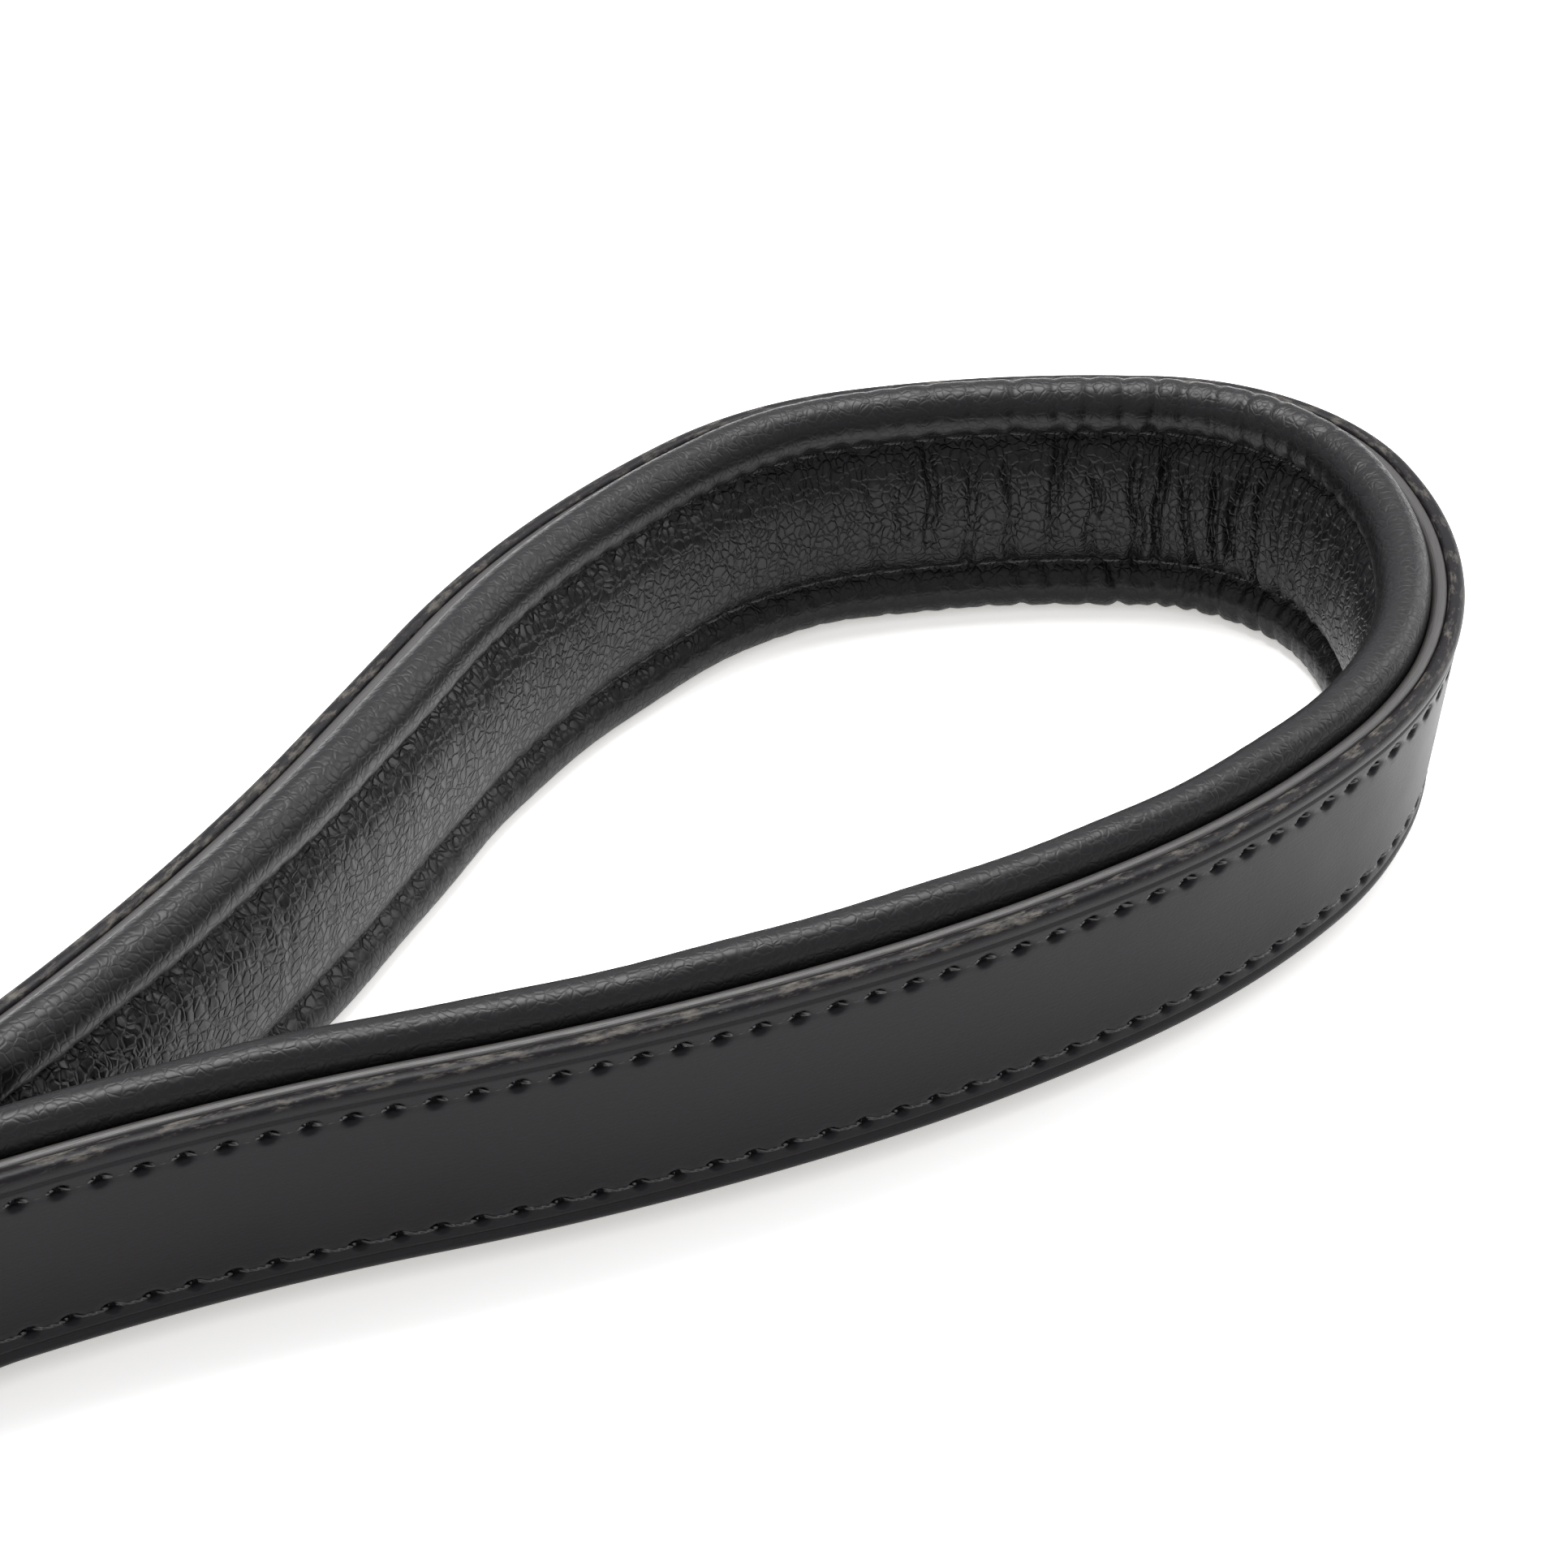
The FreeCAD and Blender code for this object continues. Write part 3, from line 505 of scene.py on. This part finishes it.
relief = add_node(tree, "ShaderNodeBump",
                  {"Strength": 0.6, "Distance": 0.0002}, Height=cells.outputs["Distance"])
tree.links.new(relief.outputs["Normal"], shader.inputs["Normal"])
foam.data.materials.append(foam_rubber)
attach(foam, "loop")
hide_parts("foam_pad")

filler, tree, shader = new_material("cotton_piping_cord", "#c9c2b2", 0.9)
flat_place = add_node(tree, "ShaderNodeAttribute", {"attribute_name": "flat"})
twist = add_node(tree, "ShaderNodeTexWave", {"Scale": 0.5, "Distortion": 1.0, "bands_direction": "DIAGONAL"},
                 Vector=flat_place.outputs["Vector"])
tone = add_node(tree, "ShaderNodeMix", {"data_type": "RGBA", 6: linear("#a39c8d"), 7: linear("#d6d0c2")},
                Factor=twist.outputs["Fac"])
tree.links.new(tone.outputs[2], shader.inputs["Base Color"])
relief = add_node(tree, "ShaderNodeBump", {"Strength": 0.6, "Distance": 0.0002}, Height=twist.outputs["Fac"])
tree.links.new(relief.outputs["Normal"], shader.inputs["Normal"])
for name, height, node in (("upper_piping_cord", 21.9, "upper_edge_cord"),
                           ("lower_piping_cord", 2.1, "lower_edge_cord")):
    around = np.linspace(0, math.tau, 8, endpoint=False)
    ring = [(5.2 + math.cos(a) * 1.1, height + math.sin(a) * 1.1) for a in around]
    cord = flat_strip(name, ring, [1.5], LINING_START + 6, 252)
    lay_round_loop(cord, parting=0.9)
    cord.data.materials.append(filler)
    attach(cord, "loop")
    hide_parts(node)

# ---- Stitching of the loop ----
# Bonded black thread, 0.5 mm thick, is saddle-stitched through strap and lining in two rows, eight stitches
# to the inch. On the strap each stitch lies flush in its channel, and inside it sinks into the valley
# beside the padding.
stitch_thread, tree, shader = new_material("bonded_black_thread", "#141315", 0.38)
flat_place = add_node(tree, "ShaderNodeAttribute", {"attribute_name": "flat"})
plies = add_node(tree, "ShaderNodeTexWave", {"Scale": 0.9, "bands_direction": "DIAGONAL"},
                 Vector=flat_place.outputs["Vector"])
tone = add_node(tree, "ShaderNodeMix", {"data_type": "RGBA", 6: linear("#080708"), 7: linear("#181618")},
                Factor=plies.outputs["Fac"])
tree.links.new(tone.outputs[2], shader.inputs["Base Color"])
relief = add_node(tree, "ShaderNodeBump", {"Strength": 0.7, "Distance": 0.00012}, Height=plies.outputs["Fac"])
tree.links.new(relief.outputs["Normal"], shader.inputs["Normal"])

# One stitch as (along, in from the surface), from one hole to the next.
PATH_LENGTH = 3.48                      # stitch length that the path below is drawn for
STITCH_PATH = [(-1.68, 0.85), (-1.42, 0.32), (-0.9, 0.10), (0.0, 0.03), (0.9, 0.10), (1.42, 0.32), (1.68, 0.85)]


def one_stitch(name, path, radius, slant=0.0):
    """One stitch as a thread of six sides, drawn along its path from hole to hole."""
    clear_selection()
    bpy.ops.mesh.primitive_circle_add(vertices=6, radius=radius)
    stitch = bpy.context.object
    stitch.name = name
    bpy.ops.object.mode_set(mode="EDIT")
    bpy.ops.mesh.select_all(action="SELECT")
    bpy.ops.transform.rotate(value=math.pi / 2, orient_axis="Y", center_override=(0, 0, 0))
    start = (path[0][0], path[0][1], path[0][0] * slant)
    bpy.ops.transform.translate(value=start)
    for (x, y), (next_x, next_y) in zip(path, path[1:]):
        move = (next_x - x, next_y - y, (next_x - x) * slant)
        bpy.ops.mesh.extrude_region_move(TRANSFORM_OT_translate={"value": move})
    bpy.ops.mesh.select_all(action="SELECT")
    bpy.ops.mesh.fill_holes(sides=0)
    bpy.ops.mesh.select_all(action="SELECT")
    bpy.ops.mesh.normals_make_consistent(inside=False)
    bpy.ops.object.mode_set(mode="OBJECT")
    bpy.ops.object.shade_smooth()
    return stitch


for name, side in (("upper", 1), ("lower", -1)):
    for face_name, surface, inward, radius in (("outside", 0.22 + 0.05 * side, 1, THREAD_RADIUS),
                                               ("inside", 5.98, -1, INNER_THREAD_RADIUS)):
        path = [(x * STITCH / PATH_LENGTH, surface + inward * y) for x, y in STITCH_PATH]
        row = one_stitch(name + "_" + face_name + "_stitches", path, radius, 0.05 * side)
        row.location = ((SEAM_START + 1) * STITCH, 0, MIDDLE_Z + side * SEAM_FROM_MIDDLE)
        bpy.ops.object.transform_apply(location=True)
        repeat_along(row, STITCH, SEAM_STOP - SEAM_START)
        lay_round_loop(row, parting=0.4 if inward < 0 else None)
        row.data.materials.append(stitch_thread)
        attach(row, "loop")
        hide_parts(name + "_seam_thread")

# ---- Keeper ----
# A band of the same bridle leather, 12 mm wide, is bent wet round the two strap ends, and its ends butt
# together on the hidden side. It is creased along both edges like the strap.
KEEPER_OUTLINE = [
    (0, 0.3), (0, 11.7), (-0.15, 11.95), (-0.6, 12),
    (-1.3, 11.95), (-1.68, 11.7), (-1.8, 11.2), (-1.78, 10.8),
    (-1.6, 10.6), (-1.78, 10.4), (-1.84, 9.0), (-1.86, 6.0),
    (-1.84, 3.0), (-1.78, 1.6), (-1.6, 1.4), (-1.78, 1.2),
    (-1.8, 0.8), (-1.68, 0.3), (-1.3, 0.05), (-0.6, 0), (-0.15, 0.05)]
KEEPER_ROUTE = [
    (3.47, 0), (0.94, 90), (18.9, 0), (0.94, 90), (6.94, 0), (0.94, 90), (18.9, 0), (0.94, 90), (3.47, 0)]


def place_in_mm(piece, points, kept):
    """Puts points, in mm from the crotch, into the piece in metres, and keeps its pattern's points."""
    keep_flat_points(piece, kept)
    write_points(piece, points * 0.001 + np.array(CROTCH))


keeper_length = sum(length for length, turn in KEEPER_ROUTE)
keeper = flat_strip("keeper_loop", KEEPER_OUTLINE, [keeper_length / 240], 0.0, 240)
flat = read_points(keeper)
ring = lay_along(flat, KEEPER_ROUTE, (0.0, 1.95))
place_in_mm(keeper, np.stack([ring[:, 2] - 28.5, ring[:, 0], ring[:, 1]], 1), flat)
keeper.data.materials.append(bridle_leather)
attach(keeper, "loop")
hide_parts("keeper_band")

# ---- Chape ----
# A tab of 1.2 mm black leather, 12 mm wide, is folded round the bail's bar, and its two leaves lie between
# the strap ends, held there by two rivets. Its cut edges are inked.
CHAPE_ROUTE = [
    (21.08, 0), (1.83, 17.46), (4.80, 0), (6.752, -214.92), (4.80, 0), (1.83, 17.46), (21.08, 0)]
CHAPE_OUTLINE = [
    (0, 6.3), (0, 17.7), (0.12, 17.95), (0.4, 18), (0.8, 18), (1.08, 17.95), (1.2, 17.7), (1.2, 15), (1.2, 9),
    (1.2, 6.3), (1.08, 6.05), (0.8, 6), (0.4, 6), (0.12, 6.05)]
chape_length = sum(length for length, turn in CHAPE_ROUTE)
tab = flat_strip("folded_chape", CHAPE_OUTLINE, [chape_length / 200], 0.0, 200)
flat = read_points(tab)
place_in_mm(tab, lay_along(flat, CHAPE_ROUTE, (-18.0, 0.0), math.pi), flat)
tab.data.materials.append(edge_ink)
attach(tab, "loop")
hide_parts("chape")

# ---- Rivets of the chape ----
# Two nickel-plated rivets go through strap, chape and strap. Each has a low domed head on both sides, 6.4
# mm across. Nickel plate: polished, slightly warm, with faint brushing and smudges in its gloss.
nickel, tree, shader = new_material("nickel_plate", "#c9c6bf", 0.22, Metallic=1.0)
place = add_node(tree, "ShaderNodeTexCoord")
drawn = add_node(tree, "ShaderNodeMapping", {"Scale": (400, 3000, 3000)}, Vector=place.outputs["Object"])
brushing = add_node(tree, "ShaderNodeTexNoise", {"Scale": 1.0, "Detail": 3.0}, Vector=drawn.outputs["Vector"])
smudges = add_node(tree, "ShaderNodeTexNoise",
                   {"Scale": 180.0, "Detail": 4.0}, Vector=place.outputs["Object"])
gloss = add_node(tree, "ShaderNodeMapRange", {"To Min": 0.12, "To Max": 0.34}, Value=smudges.outputs["Fac"])
tree.links.new(gloss.outputs["Result"], shader.inputs["Roughness"])
tint = add_node(tree, "ShaderNodeMix", {"data_type": "RGBA", 6: linear("#a39f97"), 7: linear("#bebbb4")},
                Factor=smudges.outputs["Fac"])
tree.links.new(tint.outputs[2], shader.inputs["Base Color"])
relief = add_node(tree, "ShaderNodeBump",
                  {"Strength": 0.15, "Distance": 0.00002}, Height=brushing.outputs["Fac"])
tree.links.new(relief.outputs["Normal"], shader.inputs["Normal"])


def turned(name, profile, segments):
    """A piece turned about the X axis from (station, radius) points in mm, which begin and end on the axis."""
    clear_selection()
    bpy.ops.mesh.primitive_circle_add(vertices=len(profile), radius=1)
    piece = bpy.context.object
    piece.name = name
    for vertex, (station, radius) in zip(piece.data.vertices, profile):
        vertex.co = (station, 0, radius)
    bpy.ops.object.mode_set(mode="EDIT")
    bpy.ops.mesh.select_all(action="SELECT")
    bpy.ops.mesh.spin(steps=segments, angle=math.tau, center=(0, 0, 0), axis=(1, 0, 0))
    bpy.ops.mesh.select_all(action="SELECT")
    bpy.ops.mesh.remove_doubles(threshold=0.001)
    bpy.ops.mesh.dissolve_degenerate(threshold=0.0005)
    bpy.ops.mesh.select_all(action="SELECT")
    bpy.ops.mesh.normals_make_consistent(inside=False)
    bpy.ops.object.mode_set(mode="OBJECT")
    bpy.ops.object.shade_smooth_by_angle(angle=math.radians(40))
    return piece


def rivet_profile(half, head, radius, shank):
    side = [(0, shank), (half, shank), (half, radius), (half + 0.4 * head, 0.93 * radius),
            (half + 0.75 * head, 0.72 * radius), (half + 0.94 * head, 0.4 * radius), (half + head, 0)]
    return [(-x, r) for x, r in reversed(side[1:])] + side


for name, height in (("lower_chape_rivet", 7.5), ("upper_chape_rivet", 16.5)):
    rivet = turned(name, rivet_profile(4.05, 0.9, 3.2, 1.4), 40)
    flat = read_points(rivet)
    place_in_mm(rivet, np.stack([-flat[:, 1] - 33.0, flat[:, 0], flat[:, 2] + height], 1), flat)
    rivet.data.materials.append(nickel)
    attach(rivet, "loop")
    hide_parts("chape_rivets")

# ---- Butt: bail, washer, cap, pin and collar ----
# The bail, the washer behind the cap's wall, the domed cap with its cross pin, and the collar below the
# grip are cast or turned brass, nickel plated. Their shapes are the CAD nodes' own.
for node in ("swivel_bail", "retaining_washer", "butt_cap", "cap_pin", "grip_collar"):
    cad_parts[node].data.materials.clear()
    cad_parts[node].data.materials.append(nickel)

# The plug inside the cap is turned beech, left plain: pale, with fine grain lines along it.
beech, tree, shader = new_material("plain_beech", "#b98f5e", 0.6)
place = add_node(tree, "ShaderNodeTexCoord")
drawn = add_node(tree, "ShaderNodeMapping", {"Scale": (60, 1500, 1500)}, Vector=place.outputs["Object"])
lines = add_node(tree, "ShaderNodeTexNoise", {"Scale": 1.0, "Detail": 4.0}, Vector=drawn.outputs["Vector"])
tone = add_node(tree, "ShaderNodeMix", {"data_type": "RGBA", 6: linear("#a57a4c"), 7: linear("#cfa878")},
                Factor=lines.outputs["Fac"])
tree.links.new(tone.outputs[2], shader.inputs["Base Color"])
# The core is a pultruded glass-fibre rod: yellowish, smooth, with the glass showing as lines along it.
glass_fibre, tree, shader = new_material("pultruded_glass_fibre", "#c9c4a4", 0.35)
place = add_node(tree, "ShaderNodeTexCoord")
drawn = add_node(tree, "ShaderNodeMapping", {"Scale": (40, 4000, 4000)}, Vector=place.outputs["Object"])
lines = add_node(tree, "ShaderNodeTexNoise", {"Scale": 1.0, "Detail": 2.0}, Vector=drawn.outputs["Vector"])
tone = add_node(tree, "ShaderNodeMix", {"data_type": "RGBA", 6: linear("#b5af8d"), 7: linear("#dcd8bd")},
                Factor=lines.outputs["Fac"])
tree.links.new(tone.outputs[2], shader.inputs["Base Color"])
for node, material in (("cap_insert", beech), ("core_rod", glass_fibre)):
    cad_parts[node].data.materials.clear()
    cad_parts[node].data.materials.append(material)

# ---- Grip ----
# A foam tube is glued on the rod, and a strip of fine-grained leather is wound over it in a spiral. Each
# turn laps the one before it, which leaves a rounded step every 12 mm that gives the hand a hold.
BAR_X = -46.0
GRIP_START, GRIP_STOP = 38.0, 188.0      # stations along the stick, in mm from the bar
BRAID_START, BRAID_STOP = 196.0, 446.0
TILT = math.asin((12.0 - 2.4) / 536.0)
ON_STICK = (Matrix.Translation(CROTCH + Vector((BAR_X * 0.001, 0, 0.012)))
            @ Matrix.Rotation(-TILT, 4, "Y") @ Matrix.Rotation(math.pi, 4, "Z") @ Matrix.Scale(0.001, 4))


def put_on_stick(piece, points=None):
    """Moves a piece from the stick's own axis, in mm from the bar, to where the stick lies."""
    kept = read_points(piece)
    points = kept if points is None else points
    keep_flat_points(piece, kept)
    turn = np.array(ON_STICK)
    write_points(piece, points @ turn[:3, :3].T + turn[:3, 3])


def rod(name, start, stop, step, radius_at, sides):
    """A round piece along the stick, built of rings; radius_at takes the stations and the angles round it."""
    ring = [(math.cos(a), math.sin(a)) for a in np.linspace(0, math.tau, sides, endpoint=False)]
    piece = flat_strip(name, ring, [step], start, round((stop - start) / step))
    points = read_points(piece)
    round_at = np.arctan2(points[:, 2], points[:, 1])
    points[:, 1:] *= radius_at(points[:, 0], round_at)[:, None]
    write_points(piece, points)
    return piece


underlay = rod("grip_foam_tube", GRIP_START, GRIP_STOP, 5.0, lambda s, a: np.full(len(s), 7.55), 32)
put_on_stick(underlay)
underlay.data.materials.append(foam_rubber)
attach(underlay, "stick")
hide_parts("grip_core")


def grip_radius(station, angle):
    turn = (station / 12.0 - angle / math.tau) % 1.0
    lap = np.clip(turn / 0.05, 0, 1) * np.clip((1 - turn) / 0.03, 0, 1)
    swell = np.interp(station, [GRIP_START, 41, 68, 98, 140, GRIP_STOP],
                      [10.05, 9.45, 9.35, 9.45, 8.95, 8.05])
    return swell - 0.42 + 0.42 * lap * (1.15 - 0.75 * turn) + 0.03 * np.sin(7 * angle + station / 3.0)


grip = rod("spiral_grip_wrap", GRIP_START, GRIP_STOP, 0.4, grip_radius, 96)
put_on_stick(grip)
# Grip leather: black, soft and pebbled, dull from handling, its gloss varying at random.
grip_leather, tree, shader = new_material("pebbled_grip_leather", "#121113", 0.5, Specular_IOR_Level=0.35)
flat_place = add_node(tree, "ShaderNodeAttribute", {"attribute_name": "flat"})
pebble = add_node(tree, "ShaderNodeTexVoronoi", {"Scale": 1.3}, Vector=flat_place.outputs["Vector"])
handled = add_node(tree, "ShaderNodeTexNoise", {"Scale": 0.15, "Detail": 4.0},
                   Vector=flat_place.outputs["Vector"])
dye = add_node(tree, "ShaderNodeMix", {"data_type": "RGBA", 6: linear("#0d0c0d"), 7: linear("#1b191b")},
               Factor=handled.outputs["Fac"])
tree.links.new(dye.outputs[2], shader.inputs["Base Color"])
gloss = add_node(tree, "ShaderNodeMapRange", {"To Min": 0.38, "To Max": 0.6}, Value=handled.outputs["Fac"])
tree.links.new(gloss.outputs["Result"], shader.inputs["Roughness"])
relief = add_node(tree, "ShaderNodeBump", {"Strength": 0.7, "Distance": 0.00025},
                  Height=pebble.outputs["Distance"])
tree.links.new(relief.outputs["Normal"], shader.inputs["Normal"])
grip.data.materials.append(grip_leather)
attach(grip, "stick")
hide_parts("grip_wrap")

# ---- Braided shaft cover ----
# Sixteen strands of waxed polyester thread are plaited over the rod, eight each way, over one and under
# one. The cover tapers with the rod.
def braid_radius(station):
    return np.interp(station, [BRAID_START, BRAID_STOP], [4.6, 3.4])


def plaited_radius(station, angle):
    left = 8 * angle / math.tau + station / 6.28
    right = 8 * angle / math.tau - station / 6.28
    on_top = (np.floor(left) + np.floor(right)) % 2 < 1
    crown = lambda u: 1 - (2 * (u % 1.0) - 1) ** 2
    over = np.where(on_top, crown(left) * (0.55 + 0.45 * crown(right)), crown(right) * (0.55 + 0.45 * crown(left)))
    return braid_radius(station) - 0.22 + 0.36 * over


braid = rod("plaited_shaft_cover", BRAID_START, BRAID_STOP, 0.5, plaited_radius, 64)
put_on_stick(braid)
plaited, tree, shader = new_material("waxed_plaited_thread", "#121113", 0.45, Specular_IOR_Level=0.35)
flat_place = add_node(tree, "ShaderNodeAttribute", {"attribute_name": "flat"})
fibre = add_node(tree, "ShaderNodeTexNoise",
                 {"Scale": 2.6, "Detail": 5.0}, Vector=flat_place.outputs["Vector"])
dye = add_node(tree, "ShaderNodeMix", {"data_type": "RGBA", 6: linear("#0b0a0c"), 7: linear("#211f23")},
               Factor=fibre.outputs["Fac"])
tree.links.new(dye.outputs[2], shader.inputs["Base Color"])
relief = add_node(tree, "ShaderNodeBump", {"Strength": 0.5, "Distance": 0.00012}, Height=fibre.outputs["Fac"])
tree.links.new(relief.outputs["Normal"], shader.inputs["Normal"])
braid.data.materials.append(plaited)
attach(braid, "stick")
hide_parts("shaft_braid")

# ---- Whippings ----
# Both ends of the braid are whipped with waxed thread, 0.6 mm thick, wound tight for 9 mm so that it can't
# fray.
for name, start in (("upper_whipping", BRAID_START), ("lower_whipping", BRAID_STOP - 9.0)):
    whipping = rod(name, start, start + 9.0, 0.1,
                   lambda s, a: braid_radius(s) + 0.28 + 0.32 * np.abs(np.sin(np.pi * s / 0.6 - a / 2)), 48)
    put_on_stick(whipping)
    whipping.data.materials.append(plaited)
    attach(whipping, "stick")
    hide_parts("end_whippings")


def leaf_half_width(station):
    width = np.interp(station, [446.5, 466, 477, 490, 536], [4.9, 4.9, 6.4, 13.0, 13.0])
    past = np.clip(station - 530.0, 0, 6)
    return width - 6.0 + np.sqrt(36.0 - past ** 2)


LEAF_OUTLINE = [
    (-13, 0.02), (-13, 1.9), (-12.8, 2.25), (-12.4, 2.4),
    (-11.6, 2.4), (-10.7, 2.4), (-10.4, 2.36), (-10.0, 2.2),
    (-9.6, 2.36), (-9.3, 2.4), (-6.0, 2.4), (-3.0, 2.4),
    (0, 2.4), (3.0, 2.4), (6.0, 2.4), (9.3, 2.4), (9.6, 2.36),
    (10.0, 2.2), (10.4, 2.36), (10.7, 2.4), (11.6, 2.4),
    (12.4, 2.4), (12.8, 2.25), (13, 1.9), (13, 0.02), (6, 0.02),
    (0, 0.02), (-6, 0.02)]
for name, side, nodes in (("upper_tongue_leaf", 1, ("tongue_root", "tongue_front_leaf")),
                          ("lower_tongue_leaf", -1, ("tongue_back_leaf",))):
    leaf = flat_strip(name, LEAF_OUTLINE, [0.5], BRAID_STOP, 180)
    points = read_points(leaf)
    points[:, 1] *= leaf_half_width(points[:, 0]) / 13.0
    points[:, 2] *= side * np.interp(points[:, 0], [446.5, 458, 471], [3.1 / 2.4, 3.1 / 2.4, 1.0])
    write_points(leaf, points)
    if side < 0:
        clear_selection()
        leaf.select_set(True)
        bpy.context.view_layer.objects.active = leaf
        bpy.ops.object.mode_set(mode="EDIT")
        bpy.ops.mesh.select_all(action="SELECT")
        bpy.ops.mesh.normals_make_consistent(inside=False)
        bpy.ops.object.mode_set(mode="OBJECT")
    put_on_stick(leaf)
    leaf.data.materials.append(bridle_leather)
    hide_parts(*nodes)
    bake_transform(leaf)

# ---- Tongue's stitching ----
# One row of the same black thread holds the leaves together, 3 mm inside the edge, with its corners
# rounded. It shows on both faces.
SEAM_ROUTE = [(34.5, 0), (4.712, -90), (14, 0), (4.712, -90), (34.5, 0)]
seam_length = sum(length for length, turn in SEAM_ROUTE)
seam_count = 29
for name, side in (("upper", 1), ("lower", -1)):
    path = [(x * seam_length / seam_count / PATH_LENGTH, 0.10 + y) for x, y in STITCH_PATH]
    row = one_stitch(name + "_tongue_stitches", path, INNER_THREAD_RADIUS)
    row.location = (seam_length / seam_count / 2, 0, 0)
    bpy.ops.object.transform_apply(location=True)
    repeat_along(row, seam_length / seam_count, seam_count)
    flat = read_points(row)
    laid = lay_along(np.stack([flat[:, 0], flat[:, 2], flat[:, 1]], 1), SEAM_ROUTE, (495.5, 10.0))
    put_on_stick(row, np.stack([laid[:, 0], laid[:, 1], side * (2.4 - laid[:, 2])], 1))
    if side > 0:
        row.data.flip_normals()
    row.data.materials.append(stitch_thread)
    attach(row, "tongue")
    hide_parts("tongue_seam_thread")

# ---- Tongue's binding and rivet ----
# Waxed thread is wound tight round the leaves' root for 9 mm, and a nickel rivet goes through the flap's
# shoulder.
CORNER_TURN = np.radians(np.arange(0, 91, 22.5))
binding_ring = []
for quarter, (corner_y, corner_z) in enumerate(((4.1, 2.3), (-4.1, 2.3), (-4.1, -2.3), (4.1, -2.3))):
    around = CORNER_TURN + quarter * math.pi / 2
    binding_ring += [(corner_y + math.cos(a), corner_z + math.sin(a)) for a in around]
binding = flat_strip("tongue_root_binding", binding_ring, [0.1], 448.0, 90)
points = read_points(binding)
wound = 1 + 0.10 * np.abs(np.sin(np.pi * points[:, 0] / 0.6))
points[:, 1] *= 1 + (wound - 1) * 0.7
points[:, 2] *= wound + 0.03
write_points(binding, points)
put_on_stick(binding)
binding.data.materials.append(plaited)
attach(binding, "stick")
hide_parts("tongue_binding")

rivet = turned("tongue_shoulder_rivet", rivet_profile(2.4, 0.7, 3.0, 1.4), 40)
flat = read_points(rivet)
put_on_stick(rivet, np.stack([485.0 + flat[:, 1], flat[:, 2], -flat[:, 0]], 1))
rivet.data.materials.append(nickel)
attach(rivet, "tongue")
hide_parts("tongue_rivet")
